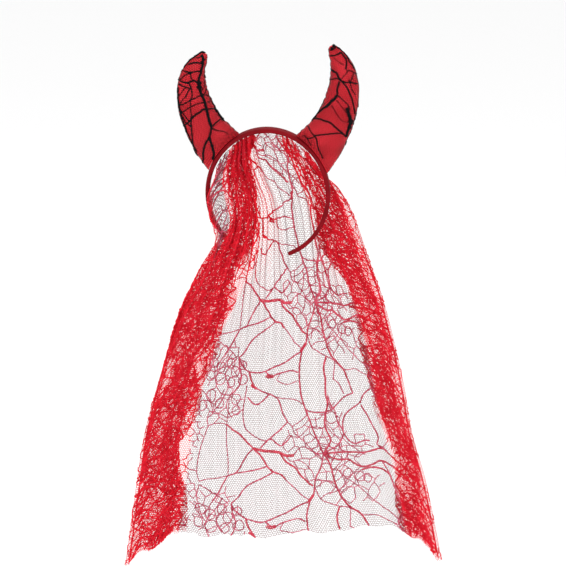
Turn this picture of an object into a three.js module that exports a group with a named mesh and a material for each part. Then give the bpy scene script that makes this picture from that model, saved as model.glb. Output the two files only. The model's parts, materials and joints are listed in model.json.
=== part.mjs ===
// Devil horns headband: a covered hairband, two stuffed horns and a long gathered lace veil.
// Millimetres, +Z up. X runs across the band, the wearer faces -Y and the veil hangs down.
// The origin is the crown seat, the middle of the band's inner face at its top.

import * as THREE from 'three';

// Band
const bandWidth = 137; // outside, arm to arm
const bandHeight = 146; // outside, crown to arm ends
const armEndGap = 45; // between the two arm ends, along their outer face
const bandThickness = 5.5; // cover included, at the crown
const armEndThickness = 4.4;
const crownDepth = 13; // front to back at the crown
const armEndDepth = 7; // front to back at the arm ends
const armEndRound = 3.5; // length of the rounded arm end

// Horns
const hornSeamFrom = 27; // degrees along the band from the crown, inner end of the base seam
const hornSeamTo = 71; // degrees, outer end of the base seam
const hornSeamDepth = 11.6; // front to back where the base is sewn to the band
const hornRiseRight = 121; // base to tip
const hornRiseLeft = 109;
const hornLean = 31; // sideways, base to the middle of the outermost bulge
const hornHalfWidth = 24.4; // half the width just above the base
const hornTipRadius = 5.3;
const hornPleatDepth = 0.9; // small gathers round the base
const seatGap = 0.3; // between the band and what is sewn to it

// Veil
const veilLength = 462; // cut length of the lace
const veilSpreadLeft = 156; // hem corner from the middle of the band
const veilSpreadRight = 189;
const veilSeamLeft = 62; // degrees along the band, left end of the gathered edge
const veilSeamRight = 60; // degrees, right end of the gathered edge
const flapWidthLeft = 52; // side folded back behind the veil, at the hem
const flapWidthRight = 32;
const foldRadius = 3; // round of the folded side edges
const foldRadiusAtBand = 0.9;
const pleatDepth = 3.2; // from the middle of the lace to the top of a pleat
const veilWall = 1.1;
const armClearance = 2.4; // between the veil and the arms that it passes
const hemSway = 8; // slow wave of the hem, front to back
const hemDip = 2.4; // the cut edge's waves, up and down
const cornerDrop = 18; // how much lower the folded corners hang than the hem between them

// How finely the curved pieces are divided
const bandSteps = 44;
const bandSides = 14;
const hornSides = 28;
const hornStepsPerRow = 2;
const hornPleats = 8;
const veilRows = 26;
const veilColumns = 50;
const flapColumns = 6;
const curlSteps = 3;
const veilPleats = 11;
const armEndStops = [0.03, 0.14, 0.42]; // places along the rounded arm end, from its tip
const hornTipStops = [0.1, 0.35, 0.62, 0.85]; // places along the tip's ball
const rowBunching = 1.25; // above 1 puts more rows near the band
const halvings = 24; // steps of a search by halving

// Horn sections from base to tip, as shares: up of the rise, out of the lean,
// half of the half width, deep of the section's own half width.
const hornSections = [
  { up: 0.097, out: 0.234, half: 1.0, deep: 0.6 },
  { up: 0.195, out: 0.497, half: 0.9, deep: 0.74 },
  { up: 0.293, out: 0.686, half: 0.83, deep: 0.82 },
  { up: 0.4, out: 0.843, half: 0.78, deep: 0.86 },
  { up: 0.507, out: 0.946, half: 0.73, deep: 0.9 },
  { up: 0.6, out: 1.0, half: 0.672, deep: 0.92 },
  { up: 0.688, out: 1.0, half: 0.612, deep: 0.95 },
  { up: 0.767, out: 0.968, half: 0.54, deep: 0.97 },
  { up: 0.834, out: 0.885, half: 0.457, deep: 1.0 },
  { up: 0.888, out: 0.785, half: 0.37, deep: 1.0 },
  { up: 0.932, out: 0.69, half: 0.287, deep: 1.0 },
];
const hornPleatRows = 2; // sections over which the base's gathers fade
const hornTipUp = 0.957; // centre of the tip's ball, shares of the rise and the lean
const hornTipOut = 0.635;

// How the gathered cloth sits along the band: a share of the cloth and where it lies across.
// Two thick bunches of pleats leave the middle and the far left open.
const gathers = [
  { at: 0, across: 0 },
  { at: 0.07, across: 0.087 },
  { at: 0.46, across: 0.32 },
  { at: 0.6, across: 0.7 },
  { at: 1, across: 1 },
];

// The veil from the band to the hem, as shares: at of its length, left and right of the
// spreads, front and rear of the swing past the arms, pleat of its depth.
const veilFall = [
  { at: 0, left: 0.35, right: 0.289, front: 0.06, rear: 0, pleat: 1 },
  { at: 0.03, left: 0.37, right: 0.335, front: 0.6, rear: 0.8, pleat: 1 },
  { at: 0.07, left: 0.4, right: 0.395, front: 0.95, rear: 1, pleat: 1 },
  { at: 0.12, left: 0.385, right: 0.455, front: 1, rear: 1, pleat: 0.95 },
  { at: 0.17, left: 0.35, right: 0.5, front: 1, rear: 1, pleat: 0.9 },
  { at: 0.24, left: 0.395, right: 0.556, front: 1, rear: 1, pleat: 0.8 },
  { at: 0.34, left: 0.54, right: 0.642, front: 0.85, rear: 0.9, pleat: 0.66 },
  { at: 0.45, left: 0.667, right: 0.711, front: 0.62, rear: 0.76, pleat: 0.55 },
  { at: 0.57, left: 0.776, right: 0.774, front: 0.45, rear: 0.64, pleat: 0.48 },
  { at: 0.69, left: 0.865, right: 0.823, front: 0.32, rear: 0.55, pleat: 0.46 },
  { at: 0.81, left: 0.92, right: 0.905, front: 0.25, rear: 0.5, pleat: 0.48 },
  { at: 1, left: 1, right: 1, front: 0.2, rear: 0.45, pleat: 0.55 },
];
// How wide the folded sides have fanned out, at shares of the length, as shares of their widths.
const flapFall = [
  { at: 0, left: 0.24, right: 0.33 },
  { at: 0.07, left: 0.42, right: 0.75 },
  { at: 0.24, left: 0.95, right: 1.4 },
  { at: 0.38, left: 1.08, right: 1.1 },
  { at: 0.5, left: 0.98, right: 0.96 },
  { at: 1, left: 1, right: 1 },
];
const spreadBy = 0.5; // share of the length by which the bunched cloth has fanned out
const stepAtArms = 28; // how wide the veil's step is from the front to the rear of the band
const stepAtHem = 150;
const stepMargin = 8; // from the left arm's end to that step
const hemSwayTurns = 1.4;
const hemDipTurns = 5;
const hemDipFrom = 0.82; // share of the length where the hem's waves begin
const cornerFrom = 0.07; // shares across, from a side edge, where the corner's drop fades
const cornerTo = 0.16;
const stepFrom = 0.3; // shares of the band's height over which the step moves in past the left arm
const stepTo = 0.93;

const slimFrom = 0.2; // share of the way from crown to arm end where the band starts to narrow

const { lerp, smoothstep, degToRad } = THREE.MathUtils;

// The band follows an ellipse whose arms close until their ends are the named gap apart.
const bandHalf = bandWidth / 2;
const bandEndAngle = Math.PI - Math.asin(armEndGap / bandWidth);
const bandRise = bandHeight / (1 - Math.cos(bandEndAngle));
const bandCentre = bandThickness - bandRise;

function bandPoint(angle, off, depth) {
  const normal = new THREE.Vector2(Math.sin(angle) / bandHalf, Math.cos(angle) / bandRise);
  normal.normalize();
  return new THREE.Vector3(
    bandHalf * Math.sin(angle) + normal.x * off,
    depth,
    bandCentre + bandRise * Math.cos(angle) + normal.y * off,
  );
}

// A smooth curve through one column of a table, read at a share of its "at" column.
function follow(rows, column, share) {
  const last = rows.length - 1;
  let k = 0;
  while (k < last - 1 && rows[k + 1].at < share) k += 1;
  const slopeAt = (i) => {
    const a = rows[Math.max(i - 1, 0)];
    const b = rows[Math.min(i + 1, last)];
    return (b[column] - a[column]) / (b.at - a.at);
  };
  const span = rows[k + 1].at - rows[k].at;
  const t = (share - rows[k].at) / span;
  const blend = 3 * t ** 2 - 2 * t ** 3;
  const bends = (t ** 3 - 2 * t ** 2 + t) * slopeAt(k) + (t ** 3 - t ** 2) * slopeAt(k + 1);
  return lerp(rows[k][column], rows[k + 1][column], blend) + bends * span;
}

// Builds a body from its points and faces, turned so that the faces point out.
function body(points, faces) {
  let volume = 0;
  for (const [a, b, c] of faces) {
    volume += points[a].dot(new THREE.Vector3().crossVectors(points[b], points[c]));
  }
  const out = volume > 0 ? faces : faces.map(([a, b, c]) => [a, c, b]);
  const geometry = new THREE.BufferGeometry();
  const places = points.flatMap((point) => point.toArray());
  geometry.setAttribute('position', new THREE.Float32BufferAttribute(places, 3));
  geometry.setIndex(out.flat());
  geometry.computeVertexNormals();
  return geometry;
}

// Skins closed rings, with a ladder of faces straight across the first one and a point on the last.
function skinRings(rings, tip) {
  const sides = rings[0].length;
  const points = [...rings.flat(), tip];
  const faces = [];
  for (let r = 0; r < rings.length - 1; r += 1) {
    for (let i = 0; i < sides; i += 1) {
      const a = r * sides + i;
      const b = r * sides + ((i + 1) % sides);
      faces.push([a, b, b + sides], [a, b + sides, a + sides]);
    }
  }
  for (let i = 0; i < sides / 2 - 1; i += 1) {
    const [a, b] = [i, i + 1];
    const [c, d] = [(sides - i) % sides, sides - i - 1];
    faces.push([a, d, b]);
    if (c !== a) faces.push([a, c, d]);
  }
  const half = sides / 2;
  faces.push([half - 1, half + 1, half]);
  const lastRing = (rings.length - 1) * sides;
  for (let i = 0; i < sides; i += 1) {
    faces.push([lastRing + i, lastRing + ((i + 1) % sides), points.length - 1]);
  }
  return body(points, faces);
}

// The covered band: rounded flat sections that narrow from the crown to the rounded arm ends.
function bandGeometry() {
  const armLength = bandEndAngle * Math.sqrt(bandHalf * bandRise);
  const shares = [];
  for (let i = 0; i <= bandSteps; i += 1) {
    const share = (2 * i) / bandSteps - 1;
    shares.push(share * (1 - armEndRound / armLength));
  }
  const ends = armEndStops.map((k) => 1 - (k * armEndRound) / armLength);
  const all = [...ends.map((k) => -k), ...shares, ...[...ends].reverse()];
  const rings = all.map((share) => {
    const reach = Math.abs(share);
    const fromEnd = Math.min(((1 - reach) * armLength) / armEndRound, 1);
    const close = Math.sqrt(1 - (1 - fromEnd) ** 2);
    const slim = smoothstep(reach, slimFrom, 1);
    const depth = lerp(crownDepth, armEndDepth, slim) * close;
    const thickness = lerp(bandThickness, armEndThickness, slim);
    const ring = [];
    for (let i = 0; i < bandSides; i += 1) {
      const turn = (2 * Math.PI * i) / bandSides;
      const soften = (k) => Math.sign(k) * Math.sqrt(Math.abs(k));
      const off = (thickness / 2) * (soften(Math.cos(turn)) * close - 1);
      ring.push(bandPoint(share * bandEndAngle, off, (depth / 2) * soften(Math.sin(turn))));
    }
    return ring;
  });
  const tip = bandPoint(bandEndAngle, -armEndThickness / 2, 0);
  return skinRings(rings, tip);
}

// A stuffed horn: its base follows the band, then round sections climb a curved line to the tip.
function hornGeometry(side, rise) {
  const seamMiddle = degToRad((hornSeamFrom + hornSeamTo) / 2);
  const seamHalf = degToRad((hornSeamTo - hornSeamFrom) / 2);
  const base = bandPoint(seamMiddle, 0, 0);
  const centre = (up, out) => new THREE.Vector2(base.x + out * hornLean, base.z + up * rise);
  const middles = [new THREE.Vector2(base.x, base.z)];
  for (const row of hornSections) middles.push(centre(row.up, row.out));
  middles.push(centre(hornTipUp, hornTipOut));
  const turns = Array.from({ length: hornSides }, (_, i) => (2 * Math.PI * i) / hornSides);
  const keyRings = [turns.map((turn) => {
    const angle = seamMiddle + seamHalf * Math.cos(turn);
    return bandPoint(angle, seatGap, (hornSeamDepth / 2) * Math.sin(turn));
  })];
  hornSections.forEach((row, r) => {
    const ahead = middles[r + 2].clone().sub(middles[r]).normalize();
    const half = row.half * hornHalfWidth;
    const pleat = hornPleatDepth * Math.max(1 - r / hornPleatRows, 0);
    keyRings.push(turns.map((turn) => {
      const swell = 1 + (pleat * Math.cos(hornPleats * turn)) / half;
      const across = half * Math.cos(turn);
      const deep = half * row.deep * swell * Math.sin(turn);
      const at = middles[r + 1];
      return new THREE.Vector3(at.x + ahead.y * across, deep, at.y - ahead.x * across);
    }));
  });
  const rings = [];
  const lastKey = keyRings.length - 1;
  for (let i = 0; i < lastKey * hornStepsPerRow; i += 1) {
    const k = Math.floor(i / hornStepsPerRow);
    const t = (i % hornStepsPerRow) / hornStepsPerRow;
    const at = (j) => keyRings[Math.min(Math.max(j, 0), lastKey)];
    rings.push(turns.map((_, s) => {
      const curve = new THREE.CatmullRomCurve3([at(k - 1)[s], at(k)[s], at(k + 1)[s], at(k + 2)[s]]);
      return t === 0 ? at(k)[s].clone() : curve.getPoint((1 + t) / 3);
    }));
  }
  rings.push(keyRings[lastKey]);
  const ball = middles[middles.length - 1];
  const ahead = ball.clone().sub(middles[middles.length - 2]).normalize();
  for (const rest of hornTipStops) {
    const forward = hornTipRadius * Math.sin((rest * Math.PI) / 2);
    const ringRadius = hornTipRadius * Math.cos((rest * Math.PI) / 2);
    rings.push(turns.map((turn) => {
      const across = ringRadius * Math.cos(turn);
      const x = ball.x + ahead.x * forward + ahead.y * across;
      const z = ball.y + ahead.y * forward - ahead.x * across;
      return new THREE.Vector3(x, ringRadius * Math.sin(turn), z);
    }));
  }
  const tip = new THREE.Vector3(ball.x + ahead.x * hornTipRadius, 0, ball.y + ahead.y * hornTipRadius);
  for (const point of [...rings.flat(), tip]) point.x *= side;
  return skinRings(rings, tip);
}

// The height of the crown's inner face over x, less the gap.
const innerHalf = bandHalf - bandThickness;
const innerRise = bandRise - bandThickness;
function undersideOfCrown(x) {
  const share = Math.min((Math.abs(x) + veilWall / 2) / (innerHalf - seatGap), 1);
  return bandCentre + (innerRise - seatGap) * Math.sqrt(1 - share ** 2);
}

// Where the side edges of the veil run: from the gathered edge on the band out to the hem.
function veilEdges(fall) {
  const free = smoothstep(fall, 0, veilFall[2].at);
  const fromLeft = -innerHalf * Math.sin(degToRad(veilSeamLeft));
  const fromRight = innerHalf * Math.sin(degToRad(veilSeamRight));
  return {
    left: lerp(fromLeft, -veilSpreadLeft * follow(veilFall, 'left', fall), free),
    right: lerp(fromRight, veilSpreadRight * follow(veilFall, 'right', fall), free),
  };
}

// Across the veil from its left edge, 0 to 1, for a share of the cloth at a share of the fall.
function acrossAt(cloth, fall) {
  return lerp(follow(gathers, 'across', cloth), cloth, smoothstep(fall, 0, spreadBy));
}

// The share of the cloth that lies at a place across, the other way round, by halving.
function clothAt(across, fall) {
  let [low, high] = [0, 1];
  for (let i = 0; i < halvings; i += 1) {
    const middle = (low + high) / 2;
    if (acrossAt(middle, fall) < across) low = middle;
    else high = middle;
  }
  return (low + high) / 2;
}

// A column of the veil: x without depth, how far behind the front layer, and which way it faces.
function veilColumn(part, share, fall) {
  const { left, right } = veilEdges(fall);
  const round = lerp(foldRadiusAtBand, foldRadius, smoothstep(fall, 0, veilFall[3].at));
  if (part === 'sheet') {
    return { x: lerp(left, right, acrossAt(share, fall)), behind: 0, facing: [0, -1] };
  }
  const side = part.endsWith('Left') ? -1 : 1;
  const edge = side < 0 ? left : right;
  if (part.startsWith('curl')) {
    const turn = share * Math.PI;
    const facing = [side * Math.sin(turn), -Math.cos(turn)];
    return { x: edge + facing[0] * round, behind: round * (1 - Math.cos(turn)), facing };
  }
  const wide = side < 0
    ? flapWidthLeft * follow(flapFall, 'left', fall)
    : flapWidthRight * follow(flapFall, 'right', fall);
  return { x: edge - side * share * wide, behind: 2 * round, facing: [0, 1] };
}

// One point of the lace: it hangs from the band's inner face, in front of the left arm
// and behind the right one, and its pleats flatten out towards the hem.
function veilPoint(part, share, fall) {
  const column = veilColumn(part, share, fall);
  const top = veilColumn(part, share, 0);
  const hem = veilColumn(part, share, 1);
  const from = undersideOfCrown(top.x);
  const drop = Math.sqrt(veilLength ** 2 - (hem.x - top.x) ** 2);
  const { left, right } = veilEdges(fall);
  const across = Math.min(Math.max((column.x - left) / (right - left), 0), 1);
  const dip = hemDip * Math.sin(2 * Math.PI * hemDipTurns * across) * smoothstep(fall, hemDipFrom, 1);
  const corner = cornerDrop * (1 - smoothstep(Math.min(across, 1 - across), cornerFrom, cornerTo));
  const z = from - drop * fall - dip - corner * fall ** 3;
  const pastArm = smoothstep(bandThickness - z, bandHeight * stepFrom, bandHeight * stepTo);
  const start = lerp(-innerHalf * Math.sin(degToRad(veilSeamLeft)), stepMargin - armEndGap / 2, pastArm);
  const wide = lerp(stepAtArms, stepAtHem, smoothstep(fall, spreadBy / 2, 1));
  const crossing = smoothstep(column.x, start, start + wide);
  const frontSwing = crownDepth / 2 + 2 * foldRadius + pleatDepth + armClearance;
  const rearSwing = crownDepth / 2 + pleatDepth + armClearance;
  const swing = lerp(
    -frontSwing * follow(veilFall, 'front', fall),
    rearSwing * follow(veilFall, 'rear', fall),
    crossing,
  );
  const cloth = part === 'sheet' ? share : clothAt(across, fall);
  const pleat = pleatDepth * follow(veilFall, 'pleat', fall) * Math.sin(2 * Math.PI * veilPleats * cloth);
  const sway = hemSway * fall ** 2 * Math.sin(2 * Math.PI * hemSwayTurns * across);
  const depth = swing + pleat + sway + column.behind;
  return { at: new THREE.Vector3(column.x, depth, z), facing: column.facing };
}

// The veil as one thin wall, folded back along both sides.
function veilGeometry() {
  const columns = [];
  const add = (part, count, place) => {
    for (let i = 1; i <= count; i += 1) columns.push([part, place(i / count)]);
  };
  columns.push(['flapLeft', 1]);
  add('flapLeft', flapColumns, (k) => 1 - k);
  add('curlLeft', curlSteps, (k) => 1 - k);
  add('sheet', veilColumns, (k) => k);
  add('curlRight', curlSteps, (k) => k);
  add('flapRight', flapColumns, (k) => k);
  const points = [];
  for (let r = 0; r <= veilRows; r += 1) {
    const fall = (r / veilRows) ** rowBunching;
    for (const [part, share] of columns) {
      const { at, facing } = veilPoint(part, share, fall);
      const off = new THREE.Vector3(facing[0], facing[1], 0).multiplyScalar(veilWall / 2);
      points.push(at.clone().add(off), at.clone().sub(off));
    }
  }
  const wide = columns.length;
  const at = (r, c, side) => 2 * (r * wide + c) + side;
  const faces = [];
  const quad = (a, b, c, d) => faces.push([a, b, c], [a, c, d]);
  for (let r = 0; r < veilRows; r += 1) {
    for (let c = 0; c < wide - 1; c += 1) {
      quad(at(r, c, 0), at(r + 1, c, 0), at(r + 1, c + 1, 0), at(r, c + 1, 0));
      quad(at(r, c, 1), at(r, c + 1, 1), at(r + 1, c + 1, 1), at(r + 1, c, 1));
    }
    quad(at(r, 0, 0), at(r, 0, 1), at(r + 1, 0, 1), at(r + 1, 0, 0));
    quad(at(r, wide - 1, 0), at(r + 1, wide - 1, 0), at(r + 1, wide - 1, 1), at(r, wide - 1, 1));
  }
  for (let c = 0; c < wide - 1; c += 1) {
    quad(at(0, c, 0), at(0, c + 1, 0), at(0, c + 1, 1), at(0, c, 1));
    quad(at(veilRows, c, 0), at(veilRows, c, 1), at(veilRows, c + 1, 1), at(veilRows, c + 1, 0));
  }
  return body(points, faces);
}

const ribbon = { color: 0x7d0b1c, roughness: 0.6, metalness: 0 };
const satin = { color: 0xc81f2c, roughness: 0.42, metalness: 0 };
const lace = { color: 0xc4202f, roughness: 0.7, metalness: 0 };

function piece(name, geometry, finish) {
  const mesh = new THREE.Mesh(geometry, new THREE.MeshStandardMaterial(finish));
  mesh.name = name;
  return mesh;
}

const group = new THREE.Group();
group.add(piece('headband', bandGeometry(), ribbon));
group.add(piece('horn_left', hornGeometry(-1, hornRiseLeft), satin));
group.add(piece('horn_right', hornGeometry(1, hornRiseRight), satin));
group.add(piece('veil', veilGeometry(), lace));

export default group;
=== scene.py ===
# Devil horns headband, finished for rendering: a hairband wrapped in ribbed ribbon, two
# stuffed satin horns under black web lace, and a long gathered veil of red web lace.
# The shapes repeat the part's own named sizes. They are worked out in millimetres.

import json
import math

import bpy
import numpy as np
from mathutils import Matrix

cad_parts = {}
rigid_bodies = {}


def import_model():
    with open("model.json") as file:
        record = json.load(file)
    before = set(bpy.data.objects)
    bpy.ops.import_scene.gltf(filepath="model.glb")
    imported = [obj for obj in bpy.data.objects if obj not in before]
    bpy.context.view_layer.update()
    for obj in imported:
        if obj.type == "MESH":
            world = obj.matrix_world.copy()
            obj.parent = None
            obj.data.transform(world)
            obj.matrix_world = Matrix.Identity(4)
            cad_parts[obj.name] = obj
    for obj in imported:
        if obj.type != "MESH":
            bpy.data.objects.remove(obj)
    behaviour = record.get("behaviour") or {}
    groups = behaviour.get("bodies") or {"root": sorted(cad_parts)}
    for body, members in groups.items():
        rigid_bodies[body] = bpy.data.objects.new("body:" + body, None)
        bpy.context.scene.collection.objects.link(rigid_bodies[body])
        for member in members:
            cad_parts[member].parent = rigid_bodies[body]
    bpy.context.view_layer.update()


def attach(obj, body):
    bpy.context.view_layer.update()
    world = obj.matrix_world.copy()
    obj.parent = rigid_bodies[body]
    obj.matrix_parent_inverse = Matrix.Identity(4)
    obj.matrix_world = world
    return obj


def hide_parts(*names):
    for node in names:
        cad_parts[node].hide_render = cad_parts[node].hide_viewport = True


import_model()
mm = 0.001
chance = np.random.default_rng(31)

# The camera and the studio

view = {
    "azimuth": 5,
    "elevation": 18,
    "distance": 9.0,
    "aim": (0.0165, 0.0, -0.172),
    "frameHeight": 0.62,
    "sensor": 36,
}


def addCamera():
    azimuth, elevation = math.radians(view["azimuth"]), math.radians(view["elevation"])
    back = (
        math.sin(azimuth) * math.cos(elevation),
        -math.cos(azimuth) * math.cos(elevation),
        math.sin(elevation),
    )
    data = bpy.data.cameras.new("camera")
    data.sensor_width = view["sensor"]
    data.clip_end = 4 * view["distance"]
    data.lens = view["sensor"] * view["distance"] / view["frameHeight"]
    camera = bpy.data.objects.new("camera", data)
    bpy.context.collection.objects.link(camera)
    camera.location = [a + b * view["distance"] for a, b in zip(view["aim"], back)]
    camera.rotation_euler = (math.pi / 2 - elevation, 0, azimuth)
    bpy.context.scene.camera = camera


studio = {
    "floorHeight": -0.74,
    "floorSize": 40,
    "ambient": 1.0,
    "lamps": [  # name, place, aim, size, watts
        ("keyLamp", (-1.1, -1.7, 1.5), (0, 0, -0.05), 0.9, 14),
        ("fillLamp", (1.5, -1.2, 0.5), (0, 0, -0.2), 1.4, 4),
        ("rimLamp", (0.3, 1.6, 1.2), (0, 0, -0.1), 1.2, 6),
    ],
}


def linear(hexColour):
    parts = [int(hexColour[i : i + 2], 16) / 255 for i in (1, 3, 5)]
    return [c / 12.92 if c <= 0.04045 else ((c + 0.055) / 1.055) ** 2.4 for c in parts] + [1.0]


def addNode(tree, kind, values=None, links=None, **settings):
    node = tree.nodes.new(kind)
    for name, value in settings.items():
        setattr(node, name, value)
    for socket, value in (values or {}).items():
        node.inputs[socket].default_value = value
    for socket, source in (links or {}).items():
        tree.links.new(source, node.inputs[socket])
    return node


def addMaterial(name, viewColour):
    material = bpy.data.materials.new(name)
    material.use_nodes = True
    material.diffuse_color = linear(viewColour)
    tree = material.node_tree
    tree.nodes.clear()
    return material, tree


def addStudio():
    world = bpy.context.scene.world or bpy.data.worlds.new("studio")
    bpy.context.scene.world = world
    world.use_nodes = True
    tree = world.node_tree
    tree.nodes.clear()
    sky = addNode(tree, "ShaderNodeBackground", {"Color": linear("#ffffff"), "Strength": studio["ambient"]})
    addNode(tree, "ShaderNodeOutputWorld", links={"Surface": sky.outputs[0]})
    for name, place, aim, size, watts in studio["lamps"]:
        data = bpy.data.lights.new(name, "AREA")
        data.shape = "DISK"
        data.size = size
        data.energy = watts
        lamp = bpy.data.objects.new(name, data)
        bpy.context.collection.objects.link(lamp)
        lamp.location = place
        toward = np.array(aim) - np.array(place)
        lamp.rotation_euler = (
            math.acos(-toward[2] / np.linalg.norm(toward)),
            0,
            math.atan2(toward[1], toward[0]) - math.pi / 2,
        )
    half = studio["floorSize"] / 2
    corners = [(x * half, y * half, studio["floorHeight"]) for x, y in ((-1, -1), (1, -1), (1, 1), (-1, 1))]
    floor = addObject("studioFloor", corners, [(0, 1, 2, 3)])
    paper, tree = addMaterial("whitePaper", "#f6f6f6")  # matt seamless paper: even, nearly white
    grain = addNode(tree, "ShaderNodeTexNoise", {"Scale": 3.0, "Detail": 2.0})
    tone = addNode(tree, "ShaderNodeValToRGB", links={"Fac": grain.outputs["Fac"]})
    tone.color_ramp.elements[0].color = linear("#f7f7f7")
    tone.color_ramp.elements[1].color = linear("#fbfbfb")
    shader = addNode(
        tree, "ShaderNodeBsdfPrincipled", {"Roughness": 0.9}, {"Base Color": tone.outputs["Color"]}
    )
    addNode(tree, "ShaderNodeOutputMaterial", links={"Surface": shader.outputs[0]})
    floor.data.materials.append(paper)


# Small tools for meshes and node trees


def addObject(name, points, faces=(), edges=()):
    mesh = bpy.data.meshes.new(name)
    mesh.from_pydata([tuple(p) for p in points], [tuple(e) for e in edges], [tuple(f) for f in faces])
    mesh.update()
    thing = bpy.data.objects.new(name, mesh)
    bpy.context.collection.objects.link(thing)
    return thing


def addAttribute(thing, name, kind, values):
    layer = thing.data.attributes.new(name, kind, "POINT")
    field = "vector" if kind == "FLOAT_VECTOR" else "value"
    layer.data.foreach_set(field, np.asarray(values, np.float32).ravel())


def shadeSmooth(thing):
    thing.data.polygons.foreach_set("use_smooth", np.ones(len(thing.data.polygons), bool))
    thing.data.update()


def startNodes(name, inputs):
    tree = bpy.data.node_groups.new(name, "GeometryNodeTree")
    tree.interface.new_socket("Geometry", in_out="INPUT", socket_type="NodeSocketGeometry")
    for label, kind in inputs:
        tree.interface.new_socket(label, in_out="INPUT", socket_type="NodeSocket" + kind)
    tree.interface.new_socket("Geometry", in_out="OUTPUT", socket_type="NodeSocketGeometry")
    return tree, addNode(tree, "NodeGroupInput").outputs


def endNodes(tree, geometry, material):
    whole = addNode(tree, "GeometryNodeRealizeInstances", links={0: geometry})
    dressed = addNode(tree, "GeometryNodeSetMaterial", links={0: whole.outputs[0], "Material": material})
    addNode(tree, "NodeGroupOutput", links={0: dressed.outputs[0]})


# The source object goes through the tree and comes back as one plain mesh.
def runNodes(source, tree, values, name):
    step = source.modifiers.new(tree.name, "NODES")
    step.node_group = tree
    for item in tree.interface.items_tree:
        if item.in_out == "INPUT" and item.name in values:
            step[item.identifier] = values[item.name]
    ready = source.evaluated_get(bpy.context.evaluated_depsgraph_get())
    mesh = bpy.data.meshes.new_from_object(ready)
    mesh.name = name
    bpy.data.objects.remove(source)
    thing = bpy.data.objects.new(name, mesh)
    bpy.context.collection.objects.link(thing)
    return thing


# The part's own sizes, in millimetres

band = {
    "width": 137,
    "height": 146,
    "armEndGap": 45,
    "thickness": 5.5,
    "armEndThickness": 4.4,
    "crownDepth": 13,
    "armEndDepth": 7,
    "armEndRound": 3.5,
    "slimFrom": 0.2,
}
bandHalf = band["width"] / 2
bandEndAngle = math.pi - math.asin(band["armEndGap"] / band["width"])
bandRise = band["height"] / (1 - math.cos(bandEndAngle))
bandCentre = band["thickness"] - bandRise
armLength = bandEndAngle * math.sqrt(bandHalf * bandRise)


def lerp(a, b, share):
    return a + (b - a) * share


def smoothstep(x, low, high):
    t = np.clip((np.asarray(x, float) - low) / (high - low), 0, 1)
    return t * t * (3 - 2 * t)


def follow(rows, column, share):
    # a smooth curve through one column of a table, read at a share of its first column
    at = np.array([row[0] for row in rows], float)
    values = np.array([row[column] for row in rows], float)
    share = np.asarray(share, float)
    slopes = np.gradient(values, at)
    slopes[1:-1] = (values[2:] - values[:-2]) / (at[2:] - at[:-2])
    k = np.clip(np.searchsorted(at, share) - 1, 0, len(at) - 2)
    span = at[k + 1] - at[k]
    t = (share - at[k]) / span
    bends = (t**3 - 2 * t**2 + t) * slopes[k] + (t**3 - t**2) * slopes[k + 1]
    return lerp(values[k], values[k + 1], 3 * t**2 - 2 * t**3) + bends * span


def bandPoint(angle, off, depth):
    angle, off, depth = np.broadcast_arrays(np.asarray(angle, float), off, depth)
    across, up = np.sin(angle) / bandHalf, np.cos(angle) / bandRise
    long = np.hypot(across, up)
    x = bandHalf * np.sin(angle) + across / long * off
    z = bandCentre + bandRise * np.cos(angle) + up / long * off
    return np.stack([x, depth, z], axis=-1)


def gridFaces(rows, columns, closed):
    r, c = np.meshgrid(np.arange(rows - 1), np.arange(columns if closed else columns - 1), indexing="ij")
    a, b = r * columns + c, r * columns + (c + 1) % columns
    return np.stack([a, b, b + columns, a + columns], axis=-1).reshape(-1, 4)


def outwards(points, faces):
    # turns the faces of a closed form so that they point out
    flat = points.reshape(-1, 3)
    a, b, c = flat[faces[:, 0]], flat[faces[:, 1]], flat[faces[:, 2]]
    return faces if np.einsum("ij,ij->", a, np.cross(b, c)) > 0 else faces[:, ::-1]


def closedSkin(name, rings, tips):
    # rings of equal length with a point at each end
    rows, sides = rings.shape[:2]
    points = np.concatenate([rings.reshape(-1, 3), np.array(tips)])
    faces = gridFaces(rows, sides, True)
    faces = outwards(points, faces)
    flipped = faces[0][1] != 1
    caps = []
    for ring, tip in ((0, rows * sides), ((rows - 1) * sides, rows * sides + 1)):
        for i in range(sides):
            a, b = ring + i, ring + (i + 1) % sides
            turn = (ring == 0) == flipped
            caps.append((a, b, tip) if turn else (b, a, tip))
    thing = addObject(name, points * mm, list(map(tuple, faces)) + caps)
    shadeSmooth(thing)
    return thing


# The band: a hairband wrapped in ribbed ribbon

cover = {
    "ribPitch": 1.6,
    "ribHeight": 0.3,
    "ringsPerRib": 4,
    "sides": 22,
    "endStops": (0.02, 0.1, 0.25, 0.5, 0.75),
    "proud": 0.05,
}


def bandSection(share, grow):
    reach = np.abs(share)
    fromEnd = np.minimum((1 - reach) * armLength / band["armEndRound"], 1)
    close = np.sqrt(1 - (1 - fromEnd) ** 2)
    slim = smoothstep(reach, band["slimFrom"], 1)
    depth = lerp(band["crownDepth"], band["armEndDepth"], slim) * close + grow
    thickness = lerp(band["thickness"], band["armEndThickness"], slim)
    return depth, thickness, close


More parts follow.
